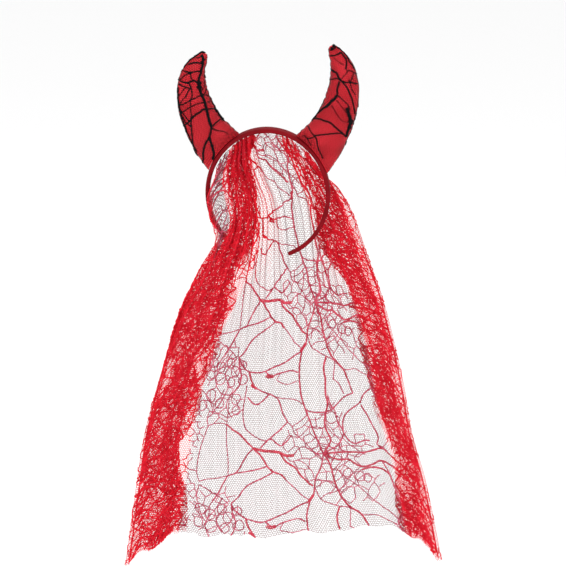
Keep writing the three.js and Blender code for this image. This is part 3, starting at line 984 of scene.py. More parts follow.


# The web pattern, drawn on one repeat of the lace. Its unit is about 1.9 mm.
webRepeat = {
    "unitAcross": 1.874,
    "unitDown": 1.94,
    "width": 163,
    "top": -14.7,
    "bottom": 74.7,
    "hub": (85, 30),
    "hubAcross": 225,
    "hubDown": 196.5,
    "hubRings": (4, 7.5, 12, 17, 23),
    "breadthGain": 1.6,
    "step": 1.7,
}
webLines = [  # breadth in mm, then the points
    (1.8, [(22, 9), (27, 12), (32, 15.5), (36, 20), (40, 23.5)]),
    (2.6, [(40, 23.5), (45, 24.5), (51, 26), (57, 27), (61, 29), (66, 30)]),
    (1.4, [(45, 23), (48, 20.5), (51, 18.5), (54, 20), (58, 23), (62, 21), (66, 18)]),
    (1.4, [(51, 18.5), (55, 16), (60, 12.5), (64, 9.5)]),
    (1.1, [(64, 9.5), (67, 13), (68, 17), (72, 21), (76, 24.5), (80, 29), (85, 30)]),
    (1.4, [(41.4, -12.8), (45.2, -11.3), (51, -8.4), (55.3, -6.5), (58.7, -3.1), (61.6, 4.6), (64, 9.5)]),
    (0.9, [(67, 13), (72, 10.5), (77, 7), (78, 3)]),
    (
        1.1,
        [
            (34.2, -14.7), (33.7, -7), (33.2, -0.3), (33.7, 6.5), (35.6, 12.2), (41.4, 16.1), (48, 19),
            (51, 18.5)
        ]
    ),
    (
        1.4,
        [
            (40, 23.5), (37, 26), (34, 30), (31, 34.5), (28, 38), (23.5, 40), (20.5, 44.5), (18, 49.5),
            (14, 55)
        ]
    ),
    (1.8, [(40, 23.5), (44, 27), (47, 31), (49, 35), (52.5, 38.5), (57, 40), (60, 43)]),
    (1.1, [(60, 43), (65, 49), (69, 54), (73.5, 57.5)]),
    (1.9, [(57, 27), (59.5, 31), (63, 34.5), (67, 38), (70, 43), (74, 47), (77, 48.5)]),
    (0.9, [(66, 30), (69, 27), (73, 25.5), (78, 28), (82, 31)]),
    (0.9, [(61, 29), (64, 33), (69, 33.5), (73, 36), (77, 40), (78, 44)]),
    (1.4, [(28, 38), (36, 37.5), (42, 36), (49, 34.5)]),
    (1.4, [(52.5, 38.5), (46, 41), (41, 43), (36, 46), (33, 49), (30, 53), (26, 57)]),
    (
        1.4,
        [
            (26, 57), (28, 61), (31, 64), (35, 66.5), (41, 67), (47, 66.5), (54, 65), (62, 63), (68, 61),
            (73, 59)
        ]
    ),
    (0.9, [(23.5, 40), (17, 41.5), (10, 42), (5, 44)]),
    (1.1, [(5, 46), (10, 48), (15, 51), (20, 54.5), (24, 57.5)]),
    (0.9, [(22, -9), (22.6, -0.3), (22, 9), (22, 20), (23, 30), (23.3, 40)]),
    (0.9, [(22, 9), (17, 8), (12, 8.5), (9, 10), (7, 16), (5, 22), (3.5, 30), (3, 38), (5, 44)]),
    (1.1, [(5, 46), (4, 53), (6, 60), (9, 66)]),
    (1.1, [(18, 50), (13, 57), (9, 63)]),
    (1.1, [(20, 54), (16, 60), (11, 66), (10, 70)]),
    (1.1, [(24, 58), (20, 62), (17, 67), (19, 72)]),
    (1.4, [(26, 57), (27, 63), (29, 69), (28, 74.7)]),
    (1.4, [(28, -14.7), (25, -11), (22, -9)]),
    (1.1, [(10, 70), (12, 74.7)]),
    (1.1, [(12, -14.7), (16, -10), (22, -9)]),
    (1.1, [(19, 72), (21, 74.7)]),
    (1.1, [(21, -14.7), (17, -6), (11.5, 1.7)]),
    (1.9, [(35, 66.5), (37, 72), (41, 76.6)]),
    (2.4, [(73, 59), (77, 54)]),
    (1.6, [(85, 30), (83, 37), (79, 44), (78, 49), (77, 54), (74, 59), (72, 66), (72, 74.7)]),
    (1.6, [(72, -14.7), (73.6, -7), (76, 0.7), (77, 3.6), (79, 9.4), (81, 17), (85, 30)]),
    (1.4, [(47, 66.5), (52, 70.5), (58, 69), (66, 69), (71, 71)]),
    (3.4, [(48, 69), (50, 70.5), (53, 70.5)]),
    (0.9, [(58, 69), (56, 73), (59, 74.7)]),
    (0.9, [(59, -14.7), (65, -12.5), (71, -13.5)]),
    (1.8, [(85, 30), (89, 37), (90, 43), (91, 48), (93, 54), (96, 60), (100, 65), (104, 69), (107, 74.7)]),
    (1.4, [(107, -14.7), (109, -10), (110.6, -5.6)]),
    (0.9, [(92, 38), (96, 43), (101, 48), (106, 53), (112, 59), (119, 66), (127, 70)]),
    (0.9, [(93, 54), (99, 51), (103, 48), (104, 44), (108, 41)]),
    (1.8, [(108, 41), (113, 40), (119, 41.5), (125, 44)]),
    (
        1.8,
        [(85, 30), (93, 33), (100, 34), (104, 37), (108, 39), (115, 38.5), (121, 37), (130, 38), (137, 41)]
    ),
    (1.8, [(85, 30), (95, 29), (103, 30), (111, 30.5), (118, 30), (124, 28.5)]),
    (1.5, [(124, 28.5), (130, 32), (137, 35), (140, 38)]),
    (1.5, [(121, 37), (125, 44), (127, 50), (129, 57), (132, 62), (136, 66)]),
    (1.8, [(85, 30), (91, 22), (89, 14), (90, 7), (92, 0), (91, -6), (91, -14.7)]),
    (1.8, [(91, 74.7), (90, 68), (92, 61)]),
    (1.4, [(85, 30), (96, 24), (100, 18), (98, 11), (97, 4), (94.8, 1.7), (92.4, -5)]),
    (1.4, [(100, 18), (102, 22), (106, 25), (112, 23.5), (116, 24)]),
    (1.4, [(100, 18), (101, 11), (105, 6), (110, 3), (115, 0), (119, -5), (126, -9), (134, -11)]),
    (1.4, [(115, 2), (118, 8), (120, 15), (122, 22), (120, 27), (124, 28.5)]),
    (1.1, [(78, 49), (81, 56), (86, 59), (92, 61), (98, 63.5), (98, 68), (97, 74.7)]),
    (1.1, [(97, -14.7), (99, -13), (101, -10.8), (104, -5)]),
    (0.9, [(81, 56), (85, 53.5), (90, 52.5), (95, 50), (99, 47)]),
    (0.9, [(98, 63.5), (104, 69), (108, 69.5), (113, 69), (120, 73), (127, 74.7)]),
    (0.9, [(127, -14.7), (134, -12.5)]),
    (
        1.4,
        [
            (77, 3.6), (81.8, 5), (86.6, 5.5), (91.4, 4.6), (96.2, 2.6), (101, -1.2), (105.8, -4.1),
            (110.6, -5.6)
        ]
    ),
    (0.9, [(55.3, -6.5), (62.5, -4.6), (69.3, -2.7), (75, 0.2)]),
    (1.4, [(35.6, -7.5), (38.5, -4.6), (42.3, -3.1), (46.2, -4.6), (51, -8.4)]),
    (2.4, [(37, -14.7), (38.5, -14), (41.4, -12.8)]),
    (0.9, [(11.5, 1.7), (17.3, 2.6), (22, 4.6), (28, 2.2), (33.2, -0.3)]),
    (1.1, [(9, 10), (8, 5), (11.5, 1.7), (9, -5), (3, -11), (-2, -13)]),
    (1.1, [(3, 38), (-3, 36), (-6, 32)]),
]
webBubbles = [  # small round cells of the pattern: middle and radius
    (7, 60, 3.2),
    (13, 63, 3.4),
    (20, 61, 3),
    (24, 66, 3.4),
    (30, 62, 2.8),
    (14, 70, 3.6),
    (22, 72.5, 3),
    (31, 71, 3.4),
    (6, 68, 3),
    (9, -9, 3.6),
    (16, -4, 3),
    (27, -7, 3.4),
    (28, 0, 2.8),
    (4, -3, 3.2),
    (106, 45, 3),
    (111, 46, 2.6),
    (99, 42, 2.6),
]
bubbleBreadth = 1.0


# Between two repeats lies a strip of small uneven cells with open places, and thinner beds of the
# same cells lie round the hub and between the big cells: middle and radius.
foam = {
    "from": 126,
    "to": 165,
    "cell": 8.6,
    "uneven": 1.7,
    "sway": 4,
    "keep": 0.86,
    "bedCell": 14.5,
    "bedUneven": 3.4,
    "keepInBeds": 0.94,
    "beds": [
        (85, 30, 20),
        (66, 22, 8),
        (93, 8, 8),
        (96, 52, 9),
        (16, 62, 15),
        (18, -6, 13),
        (108, 26, 8),
        (112, 52, 9),
    ],
    "breadth": 0.9,
    "open": [
        (139, 4, 8.5),
        (152, 27, 9),
        (134, 38, 12),
        (155, 62, 8.5),
        (177, 38, 13),
        (190, 66, 12),
        (205, 20, 11),
        (222, 52, 13),
        (240, 5, 12),
        (258, 33, 11),
        (272, 64, 12),
    ],
}


def hubArcs():
    # sagging threads between neighbouring spokes of the hub, on rings of growing size
    hub = np.array(webRepeat["hub"], float)
    spokes = [
        smoothPath(np.array(points if points[0] == webRepeat["hub"] else points[::-1], float), 0.5)
        for _, points in webLines
        if webRepeat["hub"] in (points[0], points[-1])
    ]
    arcs = []
    for k, radius in enumerate(webRepeat["hubRings"]):
        posts = []
        for spoke in spokes:
            far = np.linalg.norm(spoke - hub, axis=-1) > radius
            if far.any():
                posts.append(spoke[np.argmax(far)])
        posts.sort(key=lambda post: math.atan2(post[1] - hub[1], post[0] - hub[0]))
        for a, b in zip(posts, posts[1:] + posts[:1]):
            if np.linalg.norm(a - b) < 1.5 * radius:
                a, b = (hub + (post - hub) * chance.uniform(0.88, 1.12) for post in (a, b))
                sagged = hub + ((a + b) / 2 - hub) * chance.uniform(0.8, 0.98)
                arcs.append((0.8 if k > 1 else 1.0, [tuple(a), tuple(sagged), tuple(b)]))
    return arcs


def foamPaths(starts, whole, fromX, fromY):
    paths = []
    tall = webRepeat["bottom"] - webRepeat["top"]
    for cell, uneven, keep, inBeds in (
        (foam["cell"], foam["uneven"], foam["keep"], False),
        (foam["bedCell"], foam["bedUneven"], foam["keepInBeds"], True),
    ):
        flat, edges = hexNet(whole, veil["length"], cell)
        flat = flat + chance.uniform(-uneven, uneven, flat.shape)
        a, b = flat[edges[:, 0]], flat[edges[:, 1]]
        middle = (a + b) / 2
        x = (middle[:, 0] - fromX) / webRepeat["unitAcross"]
        y = ((middle[:, 1] - fromY) / webRepeat["unitDown"] - webRepeat["top"]) % tall + webRepeat["top"]
        if inBeds:
            x = x % webRepeat["width"]
            wanted = np.zeros(len(edges), bool)
            for bedX, bedY, radius in foam["beds"]:
                wanted |= np.hypot(x - bedX, y - bedY) < radius
        else:
            folded = (middle[:, 0] < starts["main"]) | (middle[:, 0] > starts["curlRight"])
            sway = foam["sway"] * np.sin(4 * math.pi * y / tall)
            x = (x - foam["from"] - sway) % webRepeat["width"] + foam["from"]
            wanted = (x < foam["to"]) | folded
            for openX, openY, radius in foam["open"]:
                wanted &= np.hypot(x - openX, y - openY) > radius
        wanted &= chance.random(len(edges)) < keep
        paths += [(foam["breadth"], np.linspace(p, q, 3)) for p, q in zip(a[wanted], b[wanted])]
    return paths


def webPaths(starts, whole):
    # every line of the pattern on every repeat, in millimetres of flat cloth
    lines = webLines + hubArcs()
    for x, y, radius in webBubbles:
        turns = np.linspace(0, 2 * math.pi, 9)
        swell = chance.uniform(0.85, 1.15, 9)
        swell[-1] = swell[0]
        ring = [(x + radius * r * math.cos(t), y + radius * r * math.sin(t)) for t, r in zip(turns, swell)]
        lines.append((bubbleBreadth, ring))
    hubX, hubY = webRepeat["hub"]
    units = (webRepeat["unitAcross"], webRepeat["unitDown"])
    fine = [
        (breadth * webRepeat["breadthGain"], smoothPath(np.array(points) * units, webRepeat["step"]))
        for breadth, points in lines
    ]
    wide = webRepeat["width"] * webRepeat["unitAcross"]
    tall = (webRepeat["bottom"] - webRepeat["top"]) * webRepeat["unitDown"]
    fromX = starts["main"] + webRepeat["hubAcross"] - hubX * webRepeat["unitAcross"]
    fromY = webRepeat["hubDown"] - hubY * webRepeat["unitDown"]
    paths = foamPaths(starts, whole, fromX, fromY)
    for across in range(-2, 3):
        for down in range(-2, 3):
            for breadth, path in fine:
                paths.append((breadth, path + (fromX + across * wide, fromY + down * tall)))
    return paths


def hemAt(s):
    # how long the cloth is at each place: a cut edge that wanders a little
    wander = np.sin(s / 11.3) + 0.7 * np.sin(s / 5.1 + 2) + 0.5 * np.sin(s / 2.3 + 1)
    return veil["length"] - cloth["raggedHem"] * (1 + wander / 2.2) / 2


def fullnessAt(grid, starts):
    # about how many layers lie one behind the other, from the cloth's own step across the view
    around = 15
    padded = np.pad(grid[..., 0], ((0, 0), (around, around)), mode="edge")
    total = np.cumsum(padded, axis=1)
    middle = (total[:, 2 * around :] - total[:, : -2 * around]) / (2 * around)
    pace = np.abs(np.gradient(middle, axis=1)) / cloth["step"]
    full = 1 / np.clip(pace, 0.15, 1)
    falls = np.linspace(0, 1, grid.shape[0])
    insetNow = 1 - smoothstep(falls, cloth["insetFrom"], cloth["insetTo"])[:, None]
    for side, edgeAt, flap, inset, folds in (
        (-1, starts["main"], veil["flapWidthLeft"], cloth["insetLeft"], cloth["foldsLeft"]),
        (1, starts["curlRight"], veil["flapWidthRight"], cloth["insetRight"], cloth["foldsRight"]),
    ):
        wide = flap * follow(flapFall, 1 if side < 0 else 2, falls)[:, None]
        edge = grid[:, int(edgeAt / cloth["step"]), 0][:, None]
        inside = side * (edge - grid[..., 0])
        under = smoothstep(inside - inset * insetNow, -4, 4) * (1 - smoothstep(inside - wide, -2, 8))
        full = full + under * len(folds)
    return full


def layerGlowOf(grid, starts):
    # painted light: 0 where one layer hangs alone and its threads are painted dull and dark, 1 where
    # gathered or folded layers are painted the bright red of light glowing between them
    tone = smoothstep(fullnessAt(grid, starts), 1.1, 3.2)
    s = np.arange(grid.shape[1]) * cloth["step"]
    inside = np.maximum(starts["main"] - s, s - starts["curlRight"]) - cloth["curl"] - cloth["insetCloth"]
    return np.maximum(tone, cloth["sideGlow"] * smoothstep(inside, -6, 6))


def addVeil(netThread, webThread):
    grid, normal, starts, whole = veilGrid()
    # painted light: how much each place of the veil is painted in the brighter glow of gathered layers
    # rather than the dull shade of one lone layer
    tone = layerGlowOf(grid, starts)[..., None]

    def onCloth(flat):
        row = flat[:, 1] / veil["length"] * (grid.shape[0] - 1)
        column = flat[:, 0] / cloth["step"]
        facing = readGrid(normal, row, column)
        facing /= np.maximum(np.linalg.norm(facing, axis=-1, keepdims=True), 1e-9)
        return readGrid(grid, row, column), facing, readGrid(tone, row, column)[:, 0]

    flat, edges = hexNet(whole, veil["length"], cloth["netPitch"])
    sway = np.stack(
        [np.sin(flat[:, 1] / 19 + flat[:, 0] / 31), np.sin(flat[:, 0] / 23 - flat[:, 1] / 41)], axis=-1
    )
    flat = flat + cloth["netWobble"] * sway
    inside = (flat[:, 0] >= 0) & (flat[:, 0] <= whole)
    inside = inside & (flat[:, 1] >= 0) & (flat[:, 1] <= hemAt(flat[:, 0]))
    edges = edges[inside[edges].all(axis=1)]
    places, _, layerGlows = onCloth(flat)
    middles = flat[edges].mean(axis=1)[:, 0]
    paths = webPaths(starts, whole)
    made = []
    for part, low, high, wide in (
        ("Front", starts["main"], starts["curlRight"], cloth["netWidthFront"]),
        ("Left", 0, starts["main"], cloth["netWidthSides"]),
        ("Right", starts["curlRight"], whole, cloth["netWidthSides"]),
    ):
        mine = edges[(middles > low) & (middles <= high)]
        turned = byTurns(mine, (1, -1, 0), (-1, -1, 0))
        net = addNet("veilNet" + part, places, mine, turned, layerGlows, wide, netThread)
        lines = []
        for breadth, path in paths:
            keep = (path[:, 0] > low) & (path[:, 0] < high)
            keep = keep & (path[:, 1] > 0.5) & (path[:, 1] < hemAt(path[:, 0]))
            cuts = np.flatnonzero(np.diff(np.concatenate([[0], keep.astype(int), [0]])))
            for a, b in zip(cuts[::2], cuts[1::2]):
                if b - a > 2:
                    laid, facing, pathGlow = onCloth(path[a:b])
                    # broader web lines are painted at least half way to the bright glow (painted light)
                    lines.append(
                        (laid, facing, breadth, np.maximum(pathGlow, 0.5 * smoothstep(breadth, 1.6, 3.6)))
                    )
        web = addWeb("veilWeb" + part, lines, webGrades, webThread)
        size = ((high - low) * mm, veil["length"] * mm)
        made.append((net, web, size, 2 * wide / cloth["netPitch"]))
    return made


webGrades = [  # up to this breadth: strands, strand radius and pitch of the plait, in mm
    (1.25, 1, 0.6, 5.0),
    (2.2, 2, 0.58, 5.0),
    (3.2, 3, 0.58, 6.0),
    (9.0, 4, 0.62, 8.0),
]


# The lace lines on the horns, drawn as they show from the front. A chart's corner is in
# millimetres right of and above the crown seat in that view, and its points go right and down.
hornCharts = {
    "left": {
        "corner": (-101.0, 90.7),
        "unit": 0.881,
        "blots": [((30, 43), 2.4), ((30, 47.5), 2.6), ((19, 30), 1.6), ((34.5, 15), 1.6)],
        "lines": [
            (2.2, [(16.5, 20), (22, 18.2), (28, 17.8), (34.5, 19)]),
            (3.0, [(33, 8), (34.5, 13), (34.5, 19), (32.5, 26), (32, 30), (30, 35), (29, 40), (30, 45)]),
            (1.8, [(10.5, 27.5), (15, 29), (19, 30), (24, 29), (29, 28), (32, 28.5)]),
            (1.2, [(19, 30), (20, 34), (20.5, 37.5), (24, 40.5), (29, 42)]),
            (1.5, [(6, 39), (9, 36), (12, 33.5), (15.5, 31.5), (19, 30)]),
            (2.2, [(5, 38.5), (10, 41), (14, 42.5), (19, 41), (24, 40), (29, 43)]),
            (1.8, [(5, 44), (11, 47), (15, 48), (20, 50), (18, 44), (15, 43)]),
            (1.2, [(5, 59), (8.5, 54), (11, 50), (15, 48)]),
            (1.2, [(6, 70), (9, 64), (13, 60), (15, 55), (17.5, 51), (20, 49)]),
            (1.6, [(9, 70), (13, 67), (19, 64), (21, 59), (20.5, 52), (20, 49)]),
            (
                1.6,
                [(5, 70), (11, 68), (17, 65), (23, 62), (29, 59), (33, 58), (40, 57), (43, 60), (48, 69)]
            ),
            (1.6, [(8, 79), (13, 76), (19, 72), (25, 69), (32, 67), (37, 66), (43, 65)]),
            (1.2, [(19, 64), (19.5, 70), (19.5, 76), (20, 80), (21, 84)]),
            (2.4, [(9, 96), (15, 92), (20, 87), (25, 82), (31, 78), (35, 75.5), (40, 74.5)]),
            (
                3.4,
                [
                    (30, 45.5), (31, 52), (33, 58), (36, 64), (37.5, 70), (39, 76), (41, 84), (42.5, 90),
                    (45, 96)
                ]
            ),
            (
                2.8,
                [(45, 96), (44, 102), (42.5, 108), (40, 113), (37, 118), (35, 125), (34.5, 133), (34, 141)]
            ),
            (1.8, [(40, 74.5), (45, 74), (50, 74.5), (53, 77), (56, 82), (59, 87)]),
            (1.8, [(45, 96), (50, 92), (54, 88), (57.5, 85.5)]),
            (1.5, [(45, 97), (48, 99), (53, 101.5), (58, 102), (62, 103.5), (65, 105)]),
            (3.0, [(42.5, 108), (44, 115), (46, 121), (48, 129), (47, 133), (46, 136)]),
            (2.0, [(20, 84), (20, 92), (20.5, 100), (21, 106), (22, 113), (23, 120), (25, 126), (27, 132)]),
            (3.0, [(4, 48), (4, 56), (4.4, 64), (6, 74), (8.5, 84)]),
            (2.4, [(4, 52), (4, 60), (5, 68), (7, 78), (10, 88), (13, 97), (16, 106)]),
            (1.8, [(10, 88), (13.5, 99), (18, 109), (23, 119), (28, 128)]),
            (1.5, [(10, 84), (13, 90), (16, 93), (20, 96)]),
            (1.5, [(8, 76), (12, 82), (16, 88), (19, 90)]),
            (1.2, [(31, 52), (34, 50), (36, 46), (36, 40)]),
            (1.2, [(33, 58), (37, 54), (38, 49)]),
            (1.2, [(23, 8), (27, 11), (33, 12)]),
        ],
    },
    "right": {
        "corner": (30.9, 100.3),
        "unit": 0.943,
        "blots": [((61, 88), 2.0), ((62, 94), 2.6), ((61, 100), 2.0), ((43, 8), 1.6), ((41, 11), 1.6)],
        "lines": [
            (2.0, [(38.5, 17), (42, 19), (45, 18.5), (48, 17), (51.5, 15.5)]),
            (1.6, [(38, 12), (41, 13), (44, 11), (45, 8)]),
            (2.2, [(51.5, 15.5), (54.5, 20), (57.5, 24), (57.5, 29), (56, 34)]),
            (2.0, [(46, 9), (50, 12), (53, 14), (58, 20), (61, 26), (64, 30), (66, 34)]),
            (0.9, [(43, 21.5), (47, 25), (51, 28), (55, 29.5)]),
            (2.6, [(40, 34), (43, 37), (47, 39), (48, 43), (51, 47)]),
            (1.8, [(39, 46.5), (43, 45.5), (46.5, 45.5), (51, 47)]),
            (1.1, [(51, 47), (54, 43), (57, 40), (58.5, 36), (56.5, 34)]),
            (1.5, [(58.5, 36), (62, 36.5), (66, 38.5), (69, 39.5)]),
            (2.0, [(51, 48), (56, 49.5), (61, 49.5), (65, 50.5), (70, 51)]),
            (2.0, [(52, 48), (56, 53), (59, 57), (61, 62), (63.5, 66), (65, 72), (66.5, 79), (67, 85)]),
            (2.6, [(50, 49), (48, 54), (47, 58), (47.5, 63.5)]),
            (3.0, [(47.5, 64), (44, 68), (41, 71), (38, 74), (35, 77), (31, 79)]),
            (2.4, [(31, 79), (27, 83), (22, 88.5), (18, 93)]),
            (1.4, [(47.5, 64), (52, 68), (56, 72), (60, 76), (62, 81)]),
            (0.9, [(46, 70), (50, 75), (54, 80), (58, 85), (61, 88)]),
            (0.9, [(41, 76), (44, 81), (48, 88), (51, 92), (56, 95), (60, 95)]),
            (4.2, [(58, 79), (59.5, 83), (61, 89), (62, 95), (60.5, 102), (59, 106), (57.5, 111)]),
            (
                2.2,
                [
                    (20.5, 90.5), (26, 91), (31, 93), (36, 94.5), (40, 96.5), (45, 101), (50, 105),
                    (54, 108.5), (57.5, 111.5)
                ]
            ),
            (1.6, [(13.5, 99), (15.5, 103), (18, 107.5), (21.5, 110.5)]),
            (
                1.8,
                [(21.5, 110.5), (27, 109.5), (33, 109), (40, 108.5), (46, 107.5), (52, 108), (54.5, 109.5)]
            ),
            (1.8, [(21.5, 111), (23.5, 115), (24.5, 120), (26, 126), (29, 132), (31, 136)]),
            (1.4, [(9, 110), (12, 113), (17, 113), (21.5, 111.5)]),
            (1.2, [(12, 113), (15, 117), (17, 121)]),
            (1.4, [(60, 46), (62, 52), (64, 58), (68, 64)]),
            (1.2, [(62, 49.5), (64, 44), (66, 39)]),
        ],
    },
}
hornLace = {
    "netPitch": 2.2,  # drawn a little coarser than the real 2 mm, which is too fine to show
    "netWidth": 0.46,
    "threadLean": 0.9,
    "lift": 0.32,
    "webLift": 0.6,
    "breadthGain": 1.15,
    "step": 1.2,
}


def addHornLace(name, rings, side, charts, netThread, webThread):
    wrap = HornCloth(rings)
    widest, long = wrap.around.max(), wrap.run[-1]
    flat, edges = hexNet(widest, long, hornLace["netPitch"])
    flat = flat - (widest / 2, 0)
    half = np.interp(flat[:, 1], wrap.run, wrap.around) / 2
    inside = (np.abs(flat[:, 0]) < half) & (flat[:, 1] > 0) & (flat[:, 1] < long)
    edges = edges[inside[edges].all(axis=1)]
    places, facings = wrap.place(flat[:, 0], flat[:, 1])
    places = places + facings * hornLace["lift"]
    straight = facings[edges].sum(axis=1) / 2
    lean = np.cross(straight, (0, 0, hornLace["threadLean"]))
    turned = byTurns(edges, straight + lean, straight - lean)
    net = addNet(name + "Net", places, edges, turned, np.ones(len(flat)), hornLace["netWidth"], netThread)

    # a chart's line is laid on the surface that faces the viewer, or the back
    azimuth, elevation = math.radians(view["azimuth"]), math.radians(view["elevation"])
    right = np.array([math.cos(azimuth), math.sin(azimuth), 0])
    up = np.array(
        [
            -math.sin(azimuth) * math.sin(elevation), math.cos(azimuth) * math.sin(elevation),
            math.cos(elevation)
        ]
    )
    back = np.cross(right, up)
    paths = []
    for chart, mirrored in charts:
        surface, normal = wrap.grid, wrap.normal
        if mirrored:
            surface = surface * (-1, -1, 1)
            normal = normal * (-1, -1, 1)
        flatU, flatV = surface @ right, surface @ up
        seen = (normal @ back) > 0.02
        lines = list(chart["lines"])
        for (x, y), radius in chart["blots"]:
            for turn in range(4):
                lean = math.pi * turn / 4
                reach = radius * np.array([math.cos(lean), math.sin(lean)])
                lines.append((radius * 1.3, [tuple((x, y) - reach), (x, y), tuple((x, y) + reach)]))
        for breadth, points in lines:
            path = smoothPath(np.array(points, float) * chart["unit"], hornLace["step"])
            u, v = chart["corner"][0] + path[:, 0], chart["corner"][1] - path[:, 1]
            found, facing = [], []
            for a, b in zip(u, v):
                gap = (flatU - a) ** 2 + (flatV - b) ** 2 + np.where(seen, 0, 1e4)
                r, c = np.unravel_index(np.argmin(gap), gap.shape)
                found.append(surface[r, c])
                facing.append(normal[r, c])
            found, facing = np.array(found), np.array(facing)
            keep = np.concatenate([[True], np.linalg.norm(np.diff(found, axis=0), axis=-1) > 0.3])
            found, facing = found[keep], facing[keep]
            if len(found) < 3:
                continue
            soft = found.copy()
            soft[1:-1] = (found[:-2] + 2 * found[1:-1] + found[2:]) / 4
            if mirrored:
                soft, facing = soft * (-1, -1, 1), facing * (-1, -1, 1)
            paths.append(
                (soft + facing * hornLace["webLift"], facing, breadth * hornLace["breadthGain"], 1.0)
            )
    web = addWeb(name + "Web", paths, hornGrades, webThread)
    return net, web


hornGrades = [
    (2.0, 2, 0.42, 4.5),
    (3.4, 3, 0.5, 5.5),
    (12.0, 5, 0.6, 7.5),
]


# Materials


def ribbonMaterial():
    # woven polyester ribbon, deep crimson: its ribs catch a thin light edge and the valleys stay dark
    material, tree = addMaterial("ribbedRibbon", "#8a0f20")
    where = addNode(tree, "ShaderNodeTexCoord")
    blotch = addNode(
        tree, "ShaderNodeTexNoise", {"Scale": 60.0, "Detail": 3.0}, {"Vector": where.outputs["Object"]}
    )
    tone = addNode(tree, "ShaderNodeValToRGB", links={"Fac": blotch.outputs["Fac"]})
    tone.color_ramp.elements[0].position = 0.3
    tone.color_ramp.elements[0].color = linear("#700510")
    tone.color_ramp.elements[1].position = 0.72
    tone.color_ramp.elements[1].color = linear("#8a0816")
    yarn = addNode(
        tree, "ShaderNodeTexNoise", {"Scale": 1800.0, "Detail": 2.0}, {"Vector": where.outputs["Object"]}
    )
    bump = addNode(
        tree, "ShaderNodeBump", {"Strength": 0.35, "Distance": 0.0002}, {"Height": yarn.outputs["Fac"]}
    )
    shader = addNode(
        tree,
        "ShaderNodeBsdfPrincipled",
        {
            "Roughness": 0.75,
            "Specular IOR Level": 0.12,
            "Sheen Weight": 0.05,
            "Sheen Roughness": 0.4,
            "Sheen Tint": linear("#e0788a"),
        },
        {"Base Color": tone.outputs["Color"], "Normal": bump.outputs[0]},
    )
    addNode(tree, "ShaderNodeOutputMaterial", links={"Surface": shader.outputs[0]})
    return material


def satinMaterial():
    # polyester satin, bright red: smooth long floats give broad soft highlights and darker folds
    material, tree = addMaterial("redSatin", "#cc1a28")
    where = addNode(tree, "ShaderNodeTexCoord")
    blotch = addNode(
        tree, "ShaderNodeTexNoise", {"Scale": 45.0, "Detail": 3.0}, {"Vector": where.outputs["Object"]}
    )
    tone = addNode(tree, "ShaderNodeValToRGB", links={"Fac": blotch.outputs["Fac"]})
    tone.color_ramp.elements[0].position = 0.3
    tone.color_ramp.elements[0].color = linear("#d81424")
    tone.color_ramp.elements[1].position = 0.7
    tone.color_ramp.elements[1].color = linear("#fa2a3a")
    floats = addNode(
        tree, "ShaderNodeMapping", {"Scale": (900, 900, 140)}, {"Vector": where.outputs["Object"]}
    )
    weave = addNode(
        tree, "ShaderNodeTexNoise", {"Scale": 1.0, "Detail": 2.0}, {"Vector": floats.outputs[0]}
    )
    bump = addNode(
        tree, "ShaderNodeBump", {"Strength": 0.25, "Distance": 0.0002}, {"Height": weave.outputs["Fac"]}
    )
    shader = addNode(
        tree,
        "ShaderNodeBsdfPrincipled",
        {"Roughness": 0.5, "Specular IOR Level": 0.25},
        {"Base Color": tone.outputs["Color"], "Normal": bump.outputs[0]},
    )
    addNode(tree, "ShaderNodeOutputMaterial", links={"Surface": shader.outputs[0]})
    return material


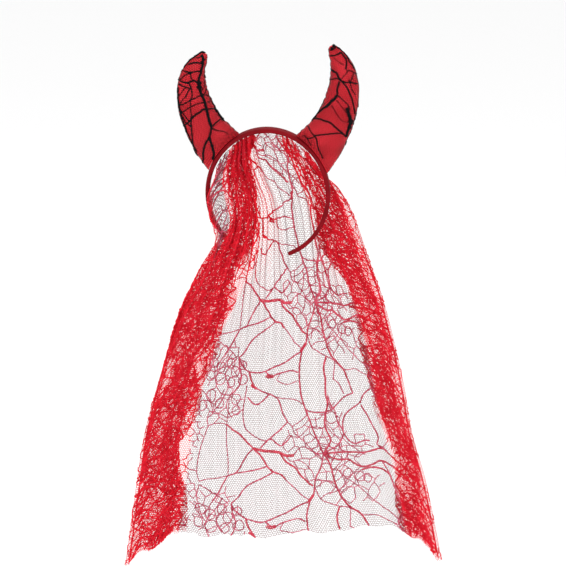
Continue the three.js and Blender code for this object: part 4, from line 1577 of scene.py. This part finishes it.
def threadMaterial(name, loneShade, bunchedGlow, roughness):
    # spun thread, uneven along its length with a fine fuzz. Painted light: a lone thread is painted dark
    # and dull, as it looks against the light, and gathered cloth is painted a brighter glowing red: each
    # colour pair is (darker, lighter), chosen by "tone"
    material, tree = addMaterial(name, bunchedGlow[1])
    where = addNode(tree, "ShaderNodeTexCoord")
    uneven = addNode(
        tree, "ShaderNodeTexNoise", {"Scale": 140.0, "Detail": 3.0}, {"Vector": where.outputs["Object"]}
    )
    ramps = []
    for dark, light in (loneShade, bunchedGlow):
        ramp = addNode(tree, "ShaderNodeValToRGB", links={"Fac": uneven.outputs["Fac"]})
        ramp.color_ramp.elements[0].position = 0.35
        ramp.color_ramp.elements[0].color = linear(dark)
        ramp.color_ramp.elements[1].position = 0.65
        ramp.color_ramp.elements[1].color = linear(light)
        ramps.append(ramp)
    # painted light: mixes the dull, shaded colour of a lone thread with the brighter glow painted on
    # gathered layers
    tone = addNode(tree, "ShaderNodeAttribute", attribute_name="tone")
    colour = addNode(
        tree,
        "ShaderNodeMix",
        links={"Factor": tone.outputs["Fac"]},
        data_type="RGBA",
    )
    for socket, ramp in zip((6, 7), ramps):
        tree.links.new(ramp.outputs["Color"], colour.inputs[socket])
    fuzz = addNode(
        tree, "ShaderNodeTexNoise", {"Scale": 3000.0, "Detail": 1.0}, {"Vector": where.outputs["Object"]}
    )
    bump = addNode(
        tree, "ShaderNodeBump", {"Strength": 0.3, "Distance": 0.0001}, {"Height": fuzz.outputs["Fac"]}
    )
    shader = addNode(
        tree,
        "ShaderNodeBsdfPrincipled",
        {"Roughness": roughness, "Specular IOR Level": 0.15},
        {"Base Color": colour.outputs[2], "Normal": bump.outputs[0]},
    )
    addNode(tree, "ShaderNodeOutputMaterial", links={"Surface": shader.outputs[0]})
    return material


# Making the object

bpy.context.scene.view_settings.view_transform = "Standard"
addCamera()
addStudio()
print("camera and studio ready")

ribbon = ribbonMaterial()
satin = satinMaterial()
coal = ("#070508", "#100c10")
blackNet = threadMaterial("blackNylonNet", coal, coal, 0.6)
blackWeb = threadMaterial("blackWebThread", coal, coal, 0.7)
# red lace: a dull dark pair painted as the shade of lone threads and a bright pair painted as the glow of
# gathered layers
redNet = threadMaterial("redNylonNet", ("#6c3a40", "#8e585e"), ("#e2162c", "#f62a40"), 0.6)
redWeb = threadMaterial("redWebThread", ("#b43c56", "#e07088"), ("#e41226", "#f82236"), 0.6)

bandCover = addBand(ribbon)
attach(bandCover, "root")
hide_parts("headband")
print("band ready")

for side, rise, name, node, charts in (
    (-1, horn["riseLeft"], "hornLeft", "horn_left", (("left", False), ("right", True))),
    (1, horn["riseRight"], "hornRight", "horn_right", (("right", False), ("left", True))),
):
    stuffed, rings = addHorn(name, side, rise, satin)
    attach(stuffed, "root")
    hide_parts(node)
    drawn = [(hornCharts[key], mirrored) for key, mirrored in charts]
    for lace in addHornLace(name, rings, side, drawn, blackNet, blackWeb):
        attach(lace, "root")
print("horns ready")

# the veil is one cut cloth, drawn as three sheets side by side. Lace is mostly holes, so each sheet
# comes with the share of it that its threads cover
veilParts = addVeil(redNet, redWeb)
for net, web, size, covered in veilParts:
    for lace in (net, web):
        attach(lace, "root")
    print("veil sheet", net.name, size)
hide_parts("veil")

for thing in bpy.data.objects:
    if thing.type == "MESH":
        print(thing.name, "triangles", sum(len(p.vertices) - 2 for p in thing.data.polygons))
